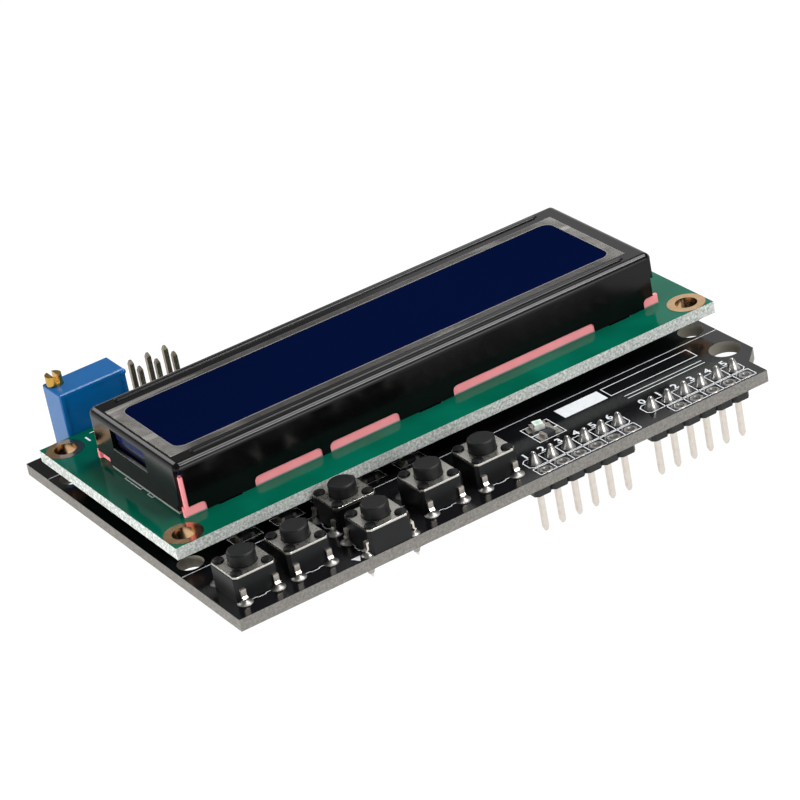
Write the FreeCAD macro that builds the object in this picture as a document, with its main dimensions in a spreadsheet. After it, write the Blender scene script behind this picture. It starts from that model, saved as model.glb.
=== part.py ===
import FreeCAD, Part
import os
import Sketcher
from FreeCAD import Placement, Rotation, Vector

# Character display with six keys on a plug-in board, in millimetres.
# X runs along the display to the right, Y runs away from the keys to the back and Z is up.
# The origin lies under the middle of the board, at the level of the header pin ends.

SIZES = (
    # plug-in board
    ("shield_depth", 55.4),
    ("shield_thickness", 1.6),
    ("step_width", 2.54),
    ("front_row_inset", 3.66),
    ("back_row_inset", 3.48),
    ("display_screw_clearance", 3.4),
    ("fixing_hole", 4.2),
    ("fixing_hole_inset", 2.54),
    ("fixing_hole_rise", 5.08),
    ("fixing_hole_setback", 18.72),
    # headers
    ("pitch", 2.54),
    ("pin_side", 0.64),
    ("pin_free", 5.5),
    ("pin_rise", 1.46),
    ("pin_taper_height", 0.5),
    ("pin_tip", 0.32),
    ("pin_hole", 0.85),
    ("spare_hole", 1.1),
    ("spare_hole_sides", 6),
    ("strip_width", 2.48),
    ("strip_height", 2.5),
    ("strip_notch", 0.45),
    ("front_pin_count", 6),
    ("back_pin_count", 8),
    ("key_to_power", 5.39),
    ("power_to_analog", 2.54),
    ("end_margin", 5.08),
    ("low_to_high", 1.524),
    ("spare_analog_count", 5),
    ("solder_base", 1.7),
    ("solder_top", 0.84),
    ("solder_height", 1.05),
    # six-pin header on top of the board
    ("trimmer_to_pins", 2.78),
    ("six_pin_back_gap", 1.3),
    ("six_pin_columns", 3),
    ("six_pin_reach", 5.96),
    ("tail_length", 1.3),
    # display board
    ("lcd_thickness", 1.6),
    ("key_to_display", 0.08),
    ("lcd_back_gap", 5.72),
    ("lcd_hole", 3.0),
    ("lcd_hole_inset", 2.5),
    ("lcd_strip_height", 2.54),
    ("lcd_pin_count", 16),
    ("lcd_pin_start", 8.0),
    ("lcd_pin_inset", 2.5),
    ("lcd_pin_rise", 1.5),
    # bezel
    ("bezel_end_gap", 4.5),
    ("bezel_back_gap", 7.8),
    ("bezel_height", 7.2),
    ("bezel_sheet", 0.5),
    ("bezel_bend", 0.9),
    ("bezel_x", -0.1),
    ("bezel_inset", 5.4),
    ("window_end_gap", 3.5),
    ("window_back_gap", 4.6),
    ("window_corner", 1.2),
    ("window_x", -0.4),
    ("window_inset", 3.8),
    ("bead_width", 0.45),
    ("bead_sink", 0.15),
    ("bead_inset", 1.6),
    ("foot_gap", 1.3),
    ("left_foot_inset", 6.6),
    ("left_foot_length", 6.9),
    ("small_foot_x", -15.2),
    ("small_foot_length", 1.2),
    ("middle_foot_x", -0.4),
    ("middle_foot_length", 8.1),
    ("right_foot_inset", 6.3),
    ("right_foot_length", 7.8),
    ("end_window_share", 0.386),
    ("end_window_height", 2.9),
    ("end_window_sill", 3.3),
    ("end_window_y", 1.2),
    ("end_wall_lift", 0.4),
    ("end_wall_front_gap", 1.5),
    ("end_wall_back_gap", 3.8),
    ("right_wall_lift", 3.4),
    ("corner_notch_length", 0.85),
    ("corner_notch_depth", 0.7),
    ("corner_notch_height", 6.4),
    ("tab_length", 3.0),
    ("tab_end_gap", 6.4),
    ("tab_fold", 2.0),
    ("tab_slot_margin", 0.2),
    # inside the bezel
    ("inner_gap", 0.15),
    ("rubber_gap", 0.05),
    ("rubber_thickness", 2.0),
    ("glass_thickness", 1.0),
    ("polariser_thickness", 0.2),
    ("polariser_lap", 0.75),
    ("guide_end_space", 4.0),
    ("lamp_thickness", 1.2),
    ("film_thickness", 0.08),
    ("film_margin_left", 0.9),
    ("film_margin", 1.3),
    # under the display board
    ("blob_diameter", 11.0),
    ("blob_height", 1.3),
    ("blob_edge", 1.0),
    ("blob_sides", 12),
    ("blob_spacing", 26.0),
    # trimmer
    ("trimmer_length", 9.53),
    ("trimmer_width", 4.83),
    ("trimmer_height", 10.03),
    ("trimmer_standoff", 0.38),
    ("trimmer_foot", 0.76),
    ("trimmer_inset", 4.4),
    ("trimmer_gap", 0.17),
    ("trimmer_edge", 0.15),
    ("trimmer_panel_margin", 0.6),
    ("trimmer_panel_sink", 0.15),
    ("trimmer_lead", 0.5),
    ("lead_sides", 4),
    ("screw_diameter", 2.2),
    ("screw_rise", 1.4),
    ("screw_sink", 1.1),
    ("screw_inset", 1.27),
    ("screw_play", 0.05),
    ("slot_width", 0.65),
    ("slot_sink", 1.0),
    # keys
    ("key_side", 6.0),
    ("key_corner", 0.4),
    ("key_body_height", 3.1),
    ("key_plate", 0.3),
    ("key_plate_inset", 0.08),
    ("key_cavity", 4.9),
    ("key_floor", 1.8),
    ("small_round_sides", 6),
    ("round_sides", 16),
    ("peg_diameter", 1.4),
    ("peg_spacing", 4.3),
    ("peg_head", 0.2),
    ("key_play", 0.1),
    ("plunger_diameter", 3.5),
    ("plunger_rise", 1.6),
    ("plunger_flange", 4.5),
    ("plunger_edge", 0.25),
    ("key_travel", 0.25),
    ("dome_diameter", 4.3),
    ("dome_sheet", 0.08),
    ("dome_height", 0.2),
    ("leg_width", 0.7),
    ("leg_sheet", 0.25),
    ("leg_pitch", 4.5),
    ("leg_reach", 6.5),
    ("leg_kink", 0.25),
    ("leg_tip", 0.4),
    ("key_hole", 0.9),
    ("key_line_inset", 6.15),
    ("down_key_inset", 3.1),
    ("up_key_step", 7.5),
    ("select_key_inset", 4.8),
    ("left_key_step", 7.4),
    ("pair_key_step", 9.45),
    ("right_key_step", 9.5),
    ("reset_key_step", 7.9),
    # chips
    ("chip_length", 2.0),
    ("chip_width", 1.25),
    ("chip_height", 0.5),
    ("chip_cap", 0.4),
    ("ladder_end_inset", 10.35),
    ("ladder_pitch", 5.97),
    ("ladder_count", 5),
    ("ladder_inset", 16.43),
    ("power_to_lamp", 5.26),
    ("lamp_chip_height", 0.8),
    ("lamp_resistor_inset", 8.15),
    ("lamp_step", 2.35),
    ("transistor_length", 2.9),
    ("transistor_width", 1.3),
    ("transistor_height", 1.0),
    ("transistor_lift", 0.1),
    ("transistor_span", 2.4),
    ("transistor_foot", 0.4),
    ("transistor_foot_height", 0.55),
    ("transistor_foot_spacing", 1.9),
    ("transistor_end_inset", 26.0),
    ("transistor_back_inset", 14.4),
)


class Length:
    """A number together with the sheet formula that gives it."""

    def __init__(self, value, formula):
        self.value = value
        self.formula = formula

    def __add__(self, other):
        return joined(self, "+", other, lambda a, b: a + b)

    def __radd__(self, other):
        return joined(other, "+", self, lambda a, b: a + b)

    def __sub__(self, other):
        return joined(self, "-", other, lambda a, b: a - b)

    def __rsub__(self, other):
        return joined(other, "-", self, lambda a, b: a - b)

    def __mul__(self, other):
        return joined(self, "*", other, lambda a, b: a * b)

    def __rmul__(self, other):
        return joined(other, "*", self, lambda a, b: a * b)

    def __truediv__(self, other):
        return joined(self, "/", other, lambda a, b: a / b)

    def __neg__(self):
        return 0 - self


def length(amount):
    """Return any amount as a Length."""
    if isinstance(amount, Length):
        return amount
    return Length(amount, str(amount))


def joined(first, sign, second, work):
    first = length(first)
    second = length(second)
    formula = f"({first.formula} {sign} {second.formula})"
    return Length(work(first.value, second.value), formula)


class Names:
    """Gives each size of the sheet as an attribute."""

    def __init__(self, sheet):
        for row, (name, value) in enumerate(SIZES, start=1):
            sheet.set(f"A{row}", name)
            sheet.set(f"B{row}", str(value))
            sheet.setAlias(f"B{row}", name)
            setattr(self, name, Length(value, f"{sheet.Name}.{name}"))


os.makedirs("parts", exist_ok=True)
doc = FreeCAD.newDocument("lcd_keypad_shield")
sheet = doc.addObject("Spreadsheet::Sheet", "sizes")
size = Names(sheet)
doc.recompute()
pieces = []

# Levels above the pin ends
SHIELD_BOTTOM = size.pin_free + size.strip_height
SHIELD_TOP = SHIELD_BOTTOM + size.shield_thickness
LCD_BOTTOM = SHIELD_TOP + size.lcd_strip_height
LCD_TOP = LCD_BOTTOM + size.lcd_thickness
BEZEL_TOP = LCD_TOP + size.bezel_height

# Both boards are as long as the row of keys and the two front headers need
POWER_LENGTH = size.front_pin_count * size.pitch
ANALOG_REACH = (size.front_pin_count - 1) * size.pitch
KEY_ROW = size.select_key_inset + size.left_key_step + size.pair_key_step
KEY_ROW = KEY_ROW + size.right_key_step + size.reset_key_step
BOARD_LENGTH = KEY_ROW + size.key_to_power + POWER_LENGTH + size.power_to_analog
BOARD_LENGTH = BOARD_LENGTH + ANALOG_REACH + size.end_margin

# Places seen from above
RIGHT = BOARD_LENGTH / 2
LEFT = -RIGHT
FRONT = -(size.shield_depth / 2)
BACK = size.shield_depth / 2
FRONT_ROW = FRONT + size.front_row_inset
BACK_ROW = BACK - size.back_row_inset
SPARE_ROW = FRONT_ROW - size.pitch
SELECT_X = LEFT + size.select_key_inset
LEFT_KEY_X = SELECT_X + size.left_key_step
PAIR_X = LEFT_KEY_X + size.pair_key_step
RIGHT_KEY_X = PAIR_X + size.right_key_step
RESET_X = RIGHT_KEY_X + size.reset_key_step
POWER_X = RESET_X + size.key_to_power
ANALOG_X = POWER_X + POWER_LENGTH + size.power_to_analog
LOW_X = RIGHT - size.end_margin - (size.back_pin_count - 1) * size.pitch
HIGH_X = LOW_X - size.low_to_high - size.back_pin_count * size.pitch
SPARE_ANALOG_X = ANALOG_X + (size.front_pin_count - size.spare_analog_count) * size.pitch
SIX_PIN_X = LEFT + size.trimmer_inset + size.trimmer_length + size.trimmer_to_pins
SIX_PIN_ROW = BACK - size.six_pin_back_gap - size.pitch
DOWN_KEY_Y = FRONT + size.down_key_inset
UP_KEY_Y = DOWN_KEY_Y + size.up_key_step
LCD_FRONT = UP_KEY_Y + size.key_side / 2 + size.key_to_display
LCD_BACK = BACK - size.lcd_back_gap
LCD_DEPTH = LCD_BACK - LCD_FRONT
LCD_Y = (LCD_FRONT + LCD_BACK) / 2
LCD_PIN_X = LEFT + size.lcd_pin_start
LCD_PIN_Y = LCD_BACK - size.lcd_pin_inset
BEZEL_LENGTH = BOARD_LENGTH - 2 * size.bezel_end_gap
BEZEL_DEPTH = LCD_DEPTH - size.bezel_inset - size.bezel_back_gap
BEZEL_Y = LCD_FRONT + size.bezel_inset + BEZEL_DEPTH / 2
WINDOW_LENGTH = BEZEL_LENGTH - 2 * size.window_end_gap
WINDOW_DEPTH = BEZEL_DEPTH - size.window_inset - size.window_back_gap
WINDOW_Y = LCD_FRONT + size.bezel_inset + size.window_inset + WINDOW_DEPTH / 2
TAB_SPACING = BEZEL_LENGTH / 2 - size.tab_end_gap
TRIMMER_Y = LCD_BACK + size.trimmer_gap + size.trimmer_width / 2
TRIMMER_X = LEFT + size.trimmer_inset + size.trimmer_length / 2
KEY_LINE = FRONT + size.key_line_inset
LAMP_X = POWER_X + size.power_to_lamp
LAMP_RESISTOR_Y = FRONT + size.lamp_resistor_inset

# name, x, y, quarter turns; the legs of a turned key stand at its sides
KEYS = (
    ("select_key", SELECT_X, KEY_LINE, 0),
    ("left_key", LEFT_KEY_X, KEY_LINE, 0),
    ("up_key", PAIR_X, UP_KEY_Y, 1),
    ("down_key", PAIR_X, DOWN_KEY_Y, 1),
    ("right_key", RIGHT_KEY_X, KEY_LINE, 0),
    ("reset_key", RESET_X, KEY_LINE, 0),
)


def bind(thing, name, amount):
    """Tie a property to the sheet, or set it where the amount is a plain number."""
    thing.setExpression(name, length(amount).formula)


def place(thing, x=0, y=0, z=0, angle=0):
    """Stand a piece at a place that follows the sheet, turned about Z."""
    thing.Placement = Placement(Vector(), Rotation(Vector(0, 0, 1), angle))
    for axis, amount in (("x", x), ("y", y), ("z", z)):
        bind(thing, f"Placement.Base.{axis}", amount)


def keep(thing):
    """Count an object as one of the finished pieces."""
    pieces.append(thing)
    return thing


def new_body(label, x=0, y=0, z=0, angle=0, several=False, finished=True):
    """Start a piece; one with several copies side by side may hold more than one solid."""
    body = doc.addObject("PartDesign::Body", label)
    body.Label = label
    body.AllowCompound = several
    place(body, x, y, z, angle)
    return keep(body) if finished else body


def origin_item(body, role):
    """Find one of the body's own planes or axes."""
    return [item for item in body.Origin.OriginFeatures if item.Role == role][0]


def new_sketch(body, name, plane="XY_Plane", offset=0):
    """Sketch on one of the body's own planes, lifted along the plane's normal."""
    sketch = body.newObject("Sketcher::SketchObject", name)
    sketch.AttachmentSupport = [(origin_item(body, plane), "")]
    sketch.MapMode = "FlatFace"
    bind(sketch, "AttachmentOffset.Base.z", offset)
    return sketch


def locate(sketch, item, point, x, y):
    """Hold one point of a sketch at x and y from the sketch origin."""
    for kind, amount in (("DistanceX", length(x)), ("DistanceY", length(y))):
        rule = Sketcher.Constraint(kind, -1, 1, item, point, float(amount.value))
        number = sketch.addConstraint(rule)
        if sheet.Name in amount.formula:
            sketch.setExpression(f"Constraints[{number}]", amount.formula)


def outline(sketch, corners):
    """Draw a closed outline of straight lines."""
    first = sketch.GeometryCount
    spots = [Vector(length(x).value, length(y).value, 0) for x, y in corners]
    count = len(spots)
    for number, spot in enumerate(spots):
        line = Part.LineSegment(spot, spots[(number + 1) % count])
        sketch.addGeometry(line, False)
    for number in range(count):
        line = first + number
        following = first + (number + 1) % count
        sketch.addConstraint(Sketcher.Constraint("Coincident", line, 2, following, 1))
    for number, (x, y) in enumerate(corners):
        locate(sketch, first + number, 1, x, y)
    return sketch


def rectangle(sketch, x, y, width, depth):
    """Draw a rectangle about its centre."""
    left, right = x - width / 2, x + width / 2
    low, high = y - depth / 2, y + depth / 2
    return outline(sketch, ((left, low), (right, low), (right, high), (left, high)))


def circle(sketch, x, y, diameter):
    """Draw a circle about its centre."""
    diameter = length(diameter)
    middle = Vector(length(x).value, length(y).value, 0)
    item = sketch.addGeometry(Part.Circle(middle, Vector(0, 0, 1), diameter.value / 2), False)
    number = sketch.addConstraint(Sketcher.Constraint("Diameter", item, float(diameter.value)))
    sketch.setExpression(f"Constraints[{number}]", diameter.formula)
    locate(sketch, item, 3, x, y)
    return sketch


def pad(body, sketch, name, height, downward=False, both_ways=False):
    """Raise a sketch into a solid."""
    feature = body.newObject("PartDesign::Pad", name)
    feature.Profile = sketch
    feature.Reversed = downward
    if both_ways:
        feature.SideType = "Symmetric"
    bind(feature, "Length", height)
    body.Tip = feature
    return feature


def cut(body, sketch, name, depth=None):
    """Sink a sketch into the body, or right through it both ways where no depth is given."""
    feature = body.newObject("PartDesign::Pocket", name)
    feature.Profile = sketch
    feature.Refine = False
    if depth is None:
        feature.Type = "ThroughAll"
        feature.SideType = "Symmetric"
    else:
        bind(feature, "Length", depth)
    body.Tip = feature
    return feature


def repeat(body, features, name, count, spacing, merge=False):
    """Repeat features in a straight row along X, merging flush faces where asked."""
    pattern = body.newObject("PartDesign::LinearPattern", name)
    pattern.Originals = features
    pattern.Refine = merge
    pattern.Direction = (origin_item(body, "X_Axis"), [""])
    bind(pattern, "Occurrences", count)
    bind(pattern, "Length", (count - 1) * spacing)
    body.Tip = pattern
    return pattern


def primitive(body, kind, name, x, y, z, turn=None):
    """Start a ready-made form at a place of the body, turned where asked."""
    feature = body.newObject(f"PartDesign::{kind}", name)
    feature.AttachmentSupport = [(origin_item(body, "XY_Plane"), "")]
    feature.MapMode = "FlatFace"
    if turn is not None:
        feature.AttachmentOffset = Placement(Vector(), turn)
    for axis, amount in (("x", x), ("y", y), ("z", z)):
        bind(feature, f"AttachmentOffset.Base.{axis}", amount)
    body.Tip = feature
    return feature


def prism(body, name, x, y, z, sides, diameter, height, away=False):
    """Add an upright many-sided prism, or take one away."""
    kind = "SubtractivePrism" if away else "AdditivePrism"
    turn = Rotation(Vector(0, 0, 1), 180 / sides.value)
    feature = primitive(body, kind, name, x, y, z, turn)
    bind(feature, "Polygon", sides)
    bind(feature, "Circumradius", diameter / 2)
    bind(feature, "Height", height)
    return feature


def bar(body, name, x, y, z, side, height):
    """Add an upright square bar."""
    feature = primitive(body, "AdditiveBox", name, x - side / 2, y - side / 2, z)
    bind(feature, "Length", side)
    bind(feature, "Width", side)
    bind(feature, "Height", height)
    return feature


def point(body, name, x, y, z, side, tip, height, up):
    """Add a square pyramid end that narrows to its tip, upwards or downwards."""
    turn = Rotation(Vector(1, 0, 0), 90 if up else -90)
    feature = primitive(body, "AdditiveWedge", name, x, y, z, turn)
    for axis in ("X", "Z"):
        bind(feature, f"{axis}min", -(side / 2))
        bind(feature, f"{axis}max", side / 2)
        bind(feature, f"{axis}2min", -(tip / 2))
        bind(feature, f"{axis}2max", tip / 2)
    bind(feature, "Ymin", 0)
    bind(feature, "Ymax", height)
    return feature


def edges(feature, rule):
    """Name the edges of a feature that satisfy a rule."""
    doc.recompute()
    found = enumerate(feature.Shape.Edges, start=1)
    return [f"Edge{number}" for number, edge in found if rule(edge)]


def upright(edge):
    """True for a straight edge along Z."""
    ends = [vertex.Point for vertex in edge.Vertexes]
    if len(ends) != 2 or not isinstance(edge.Curve, Part.Line):
        return False
    return (ends[1] - ends[0]).cross(Vector(0, 0, 1)).Length < 1e-6


def level_with(height):
    """Rule for edges that lie all along at one height of their body."""
    def rule(edge):
        box = edge.BoundBox
        return abs(box.ZMin - height) < 1e-6 and abs(box.ZMax - height) < 1e-6
    return rule


def rounded(body, feature, name, names, radius):
    """Round the named edges of a feature."""
    fillet = body.newObject("PartDesign::Fillet", name)
    fillet.Base = (feature, names)
    bind(fillet, "Radius", radius)
    body.Tip = fillet
    return fillet


def bevelled(body, feature, name, names, width):
    """Bevel the named edges of a feature evenly."""
    chamfer = body.newObject("PartDesign::Chamfer", name)
    chamfer.Base = (feature, names)
    bind(chamfer, "Size", width)
    body.Tip = chamfer
    return chamfer


def block(label, x, y, z, width, depth, height):
    """Plain slab about its centre line, standing on z."""
    box = doc.addObject("Part::Box", label)
    box.Label = label
    bind(box, "Length", width)
    bind(box, "Width", depth)
    bind(box, "Height", height)
    place(box, x - width / 2, y - depth / 2, z)
    return box


def group(label, parts):
    """Keep equal parts together as one piece."""
    whole = doc.addObject("Part::Compound", label)
    whole.Label = label
    whole.Links = parts
    return whole


def drill(x, y, height, diameter, depth, sides=None):
    """Cutter for one hole, longer than the board it goes through, round or many-sided."""
    if sides is None:
        cutter = doc.addObject("Part::Cylinder", "drill")
        bind(cutter, "Radius", diameter / 2)
    else:
        cutter = doc.addObject("Part::Prism", "drill")
        bind(cutter, "Polygon", sides)
        bind(cutter, "Circumradius", diameter / 2)
    bind(cutter, "Height", 3 * depth)
    place(cutter, x, y, height - depth)
    return cutter


def drill_row(x, y, height, side, depth, count, spacing):
    """Cutters for a straight row of small holes that solder fills, drawn square."""
    return [block("drill", x + step * spacing, y, height - depth, side, side, 3 * depth)
            for step in range(int(count.value))]


def drilled(label, plate, cutters):
    """Take the cutters out of a plate and keep the result."""
    board = doc.addObject("Part::Cut", label)
    board.Label = label
    board.Base = plate
    board.Tool = group(f"{label}_cutters", cutters)
    board.Refine = False
    return keep(board)


# Plug-in board with its stepped right end and all its holes
def shield_board():
    body = new_body("shield_plate", z=SHIELD_BOTTOM, finished=False)
    sketch = new_sketch(body, "shield_outline")
    outline(sketch, (
        (-RIGHT, FRONT),
        (RIGHT - size.step_width, FRONT),
        (RIGHT - size.step_width, FRONT_ROW),
        (RIGHT, FRONT_ROW + size.step_width),
        (RIGHT, BACK),
        (-RIGHT, BACK),
    ))
    pad(body, sketch, "shield_pad", size.shield_thickness)

    level = SHIELD_BOTTOM
    thick = size.shield_thickness
    cutters = []
    across = RIGHT - size.lcd_hole_inset
    along = LCD_DEPTH / 2 - size.lcd_hole_inset
    for x in (-across, across):
        for y in (LCD_Y - along, LCD_Y + along):
            cutters.append(drill(x, y, level, size.display_screw_clearance, thick))
    fixing_x = RIGHT - size.fixing_hole_inset
    for y in (FRONT_ROW + size.fixing_hole_rise, BACK - size.fixing_hole_setback):
        cutters.append(drill(fixing_x, y, level, size.fixing_hole, thick))
    rows = (
        (POWER_X, FRONT_ROW, size.front_pin_count),
        (ANALOG_X, FRONT_ROW, size.front_pin_count),
        (LOW_X, BACK_ROW, size.back_pin_count),
        (HIGH_X, BACK_ROW, size.back_pin_count),
        (LCD_PIN_X, LCD_PIN_Y, size.lcd_pin_count),
        (SIX_PIN_X, SIX_PIN_ROW, size.six_pin_columns),
        (SIX_PIN_X, SIX_PIN_ROW + size.pitch, size.six_pin_columns),
    )
    for x, y, count in rows:
        cutters += drill_row(x, y, level, size.pin_hole, thick, count, size.pitch)
    for x, count in ((POWER_X, size.front_pin_count), (SPARE_ANALOG_X, size.spare_analog_count)):
        for step in range(int(count.value)):
            cutters.append(drill(x + step * size.pitch, SPARE_ROW, level, size.spare_hole,
                                 thick, size.spare_hole_sides))
    lead_hole = size.trimmer_lead + size.pin_hole - size.pin_side
    cutters += drill_row(TRIMMER_X - size.pitch, TRIMMER_Y, level, lead_hole, thick,
                         length(3), size.pitch)
    for name, x, y, quarter in KEYS:
        for first in (-1, 1):
            for second in (-1, 1):
                aside = first * size.leg_pitch / 2
                ahead = second * size.leg_reach / 2
                if quarter:
                    aside, ahead = ahead, aside
                cutters += drill_row(x + aside, y + ahead, level, size.key_hole, thick,
                                     length(1), size.pitch)
    drilled("shield_board", body, cutters)


# Moulded strip of eight-sided cells, one for each pin, or a plain strip
def header_strip(label, x, y, z, count, height, rows=1, plain=False):
    body = new_body(label, x, y, z)
    sketch = new_sketch(body, f"{label}_cell")
    half = size.pitch / 2
    side = size.strip_width / 2
    notch = size.strip_notch
    depth = (rows - 1) * size.pitch
    if plain:
        outline(sketch, ((-half, -side), (half, -side), (half, side), (-half, side)))
    else:
        outline(sketch, (
            (-half, notch - side),
            (notch - half, -side),
            (half - notch, -side),
            (half, notch - side),
            (half, depth + side - notch),
            (half - notch, depth + side),
            (notch - half, depth + side),
            (-half, depth + side - notch),
        ))
    for row in range(rows):
        rectangle(sketch, length(0), row * size.pitch, size.pin_side, size.pin_side)
    cell = pad(body, sketch, f"{label}_block", height)
    repeat(body, [cell], f"{label}_cells", count, size.pitch, merge=True)


# Row of square pins with a pyramid end on top, and one below where it plugs in
def pin_row(label, x, y, low, high, count, rows=1, plugs=False):
    body = new_body(label, x, y, low, several=True)
    taper = size.pin_taper_height
    side = size.pin_side
    top = high - low - taper
    start = taper if plugs else length(0)
    for row in range(rows):
        aside = row * size.pitch
        bar(body, f"{label}_shaft", length(0), aside, start, side, top - start)
        last = point(body, f"{label}_upper_end", length(0), aside, top, side, size.pin_tip,
                     taper, True)
        if plugs:
            last = point(body, f"{label}_lower_end", length(0), aside, taper, side,
                         size.pin_tip, taper, False)
    row_of_pins = repeat(body, [last], f"{label}_pins", count, size.pitch)
    row_of_pins.TransformMode = "Whole shape"


# Solder round each pin tip on top of the board, drawn as a four-sided pyramid
def header_solder():
    rows = (
        ("power", POWER_X, FRONT_ROW, size.front_pin_count),
        ("analog", ANALOG_X, FRONT_ROW, size.front_pin_count),
        ("low_digital", LOW_X, BACK_ROW, size.back_pin_count),
        ("high_digital", HIGH_X, BACK_ROW, size.back_pin_count),
    )
    joints = []
    for name, x, y, count in rows:
        body = new_body(f"{name}_solder", x, y, SHIELD_TOP, several=True, finished=False)
        point(body, f"{name}_solder_pyramid", length(0), length(0), length(0),
              size.solder_base, size.solder_top, size.solder_height, True)
        passage = new_sketch(body, f"{name}_solder_passage")
        rectangle(passage, length(0), length(0), size.pin_side, size.pin_side)
        joint = cut(body, passage, f"{name}_solder_hole")
        row_of_joints = repeat(body, [joint], f"{name}_solder_row", count, size.pitch)
        row_of_joints.TransformMode = "Whole shape"
        joints.append(body)
    keep(group("header_solder", joints))


def headers():
    rows = (
        ("power_header", POWER_X, FRONT_ROW, size.front_pin_count),
        ("analog_header", ANALOG_X, FRONT_ROW, size.front_pin_count),
        ("low_digital_header", LOW_X, BACK_ROW, size.back_pin_count),
        ("high_digital_header", HIGH_X, BACK_ROW, size.back_pin_count),
    )
    for name, x, y, count in rows:
        header_strip(f"{name}_strip", x, y, size.pin_free, count, size.strip_height)
        pin_row(f"{name}_pins", x, y, length(0), SHIELD_TOP + size.pin_rise, count,
                plugs=True)
    header_strip("lcd_header_strip", LCD_PIN_X, LCD_PIN_Y, SHIELD_TOP, size.lcd_pin_count,
                 size.lcd_strip_height, plain=True)
    pin_row("lcd_header_pins", LCD_PIN_X, LCD_PIN_Y, SHIELD_BOTTOM - size.tail_length,
            LCD_TOP + size.lcd_pin_rise, size.lcd_pin_count)
    header_strip("six_pin_strip", SIX_PIN_X, SIX_PIN_ROW, SHIELD_TOP,
                 size.six_pin_columns, size.lcd_strip_height, rows=2)
    top = SHIELD_TOP + size.lcd_strip_height + size.six_pin_reach
    pin_row("six_pin_pins", SIX_PIN_X, SIX_PIN_ROW, SHIELD_BOTTOM - size.tail_length,
            top, size.six_pin_columns, rows=2)


# Display board with screw holes, header holes and slots for the bezel tabs
def lcd_board():
    body = new_body("lcd_plate", y=LCD_Y, z=LCD_BOTTOM, finished=False)
    sketch = new_sketch(body, "lcd_outline")
    rectangle(sketch, length(0), length(0), BOARD_LENGTH, LCD_DEPTH)
    pad(body, sketch, "lcd_pad", size.lcd_thickness)

    level = LCD_BOTTOM
    thick = size.lcd_thickness
    across = RIGHT - size.lcd_hole_inset
    along = LCD_DEPTH / 2 - size.lcd_hole_inset
    cutters = []
    for x in (-across, across):
        for y in (LCD_Y - along, LCD_Y + along):
            cutters.append(drill(x, y, level, size.lcd_hole, thick))
    cutters += drill_row(LCD_PIN_X, LCD_PIN_Y, level, size.pin_hole, thick,
                         size.lcd_pin_count, size.pitch)
    reach = BEZEL_DEPTH / 2 - size.bezel_sheet / 2
    margin = 2 * size.tab_slot_margin
    for side in (-1, 1):
        for step in (-1, 0, 1):
            slot = block("tab_slot", size.bezel_x + step * TAB_SPACING,
                         BEZEL_Y + side * reach, level - thick,
                         size.tab_length + margin, size.bezel_sheet + margin, 3 * thick)
            cutters.append(slot)
    drilled("lcd_board", body, cutters)


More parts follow.
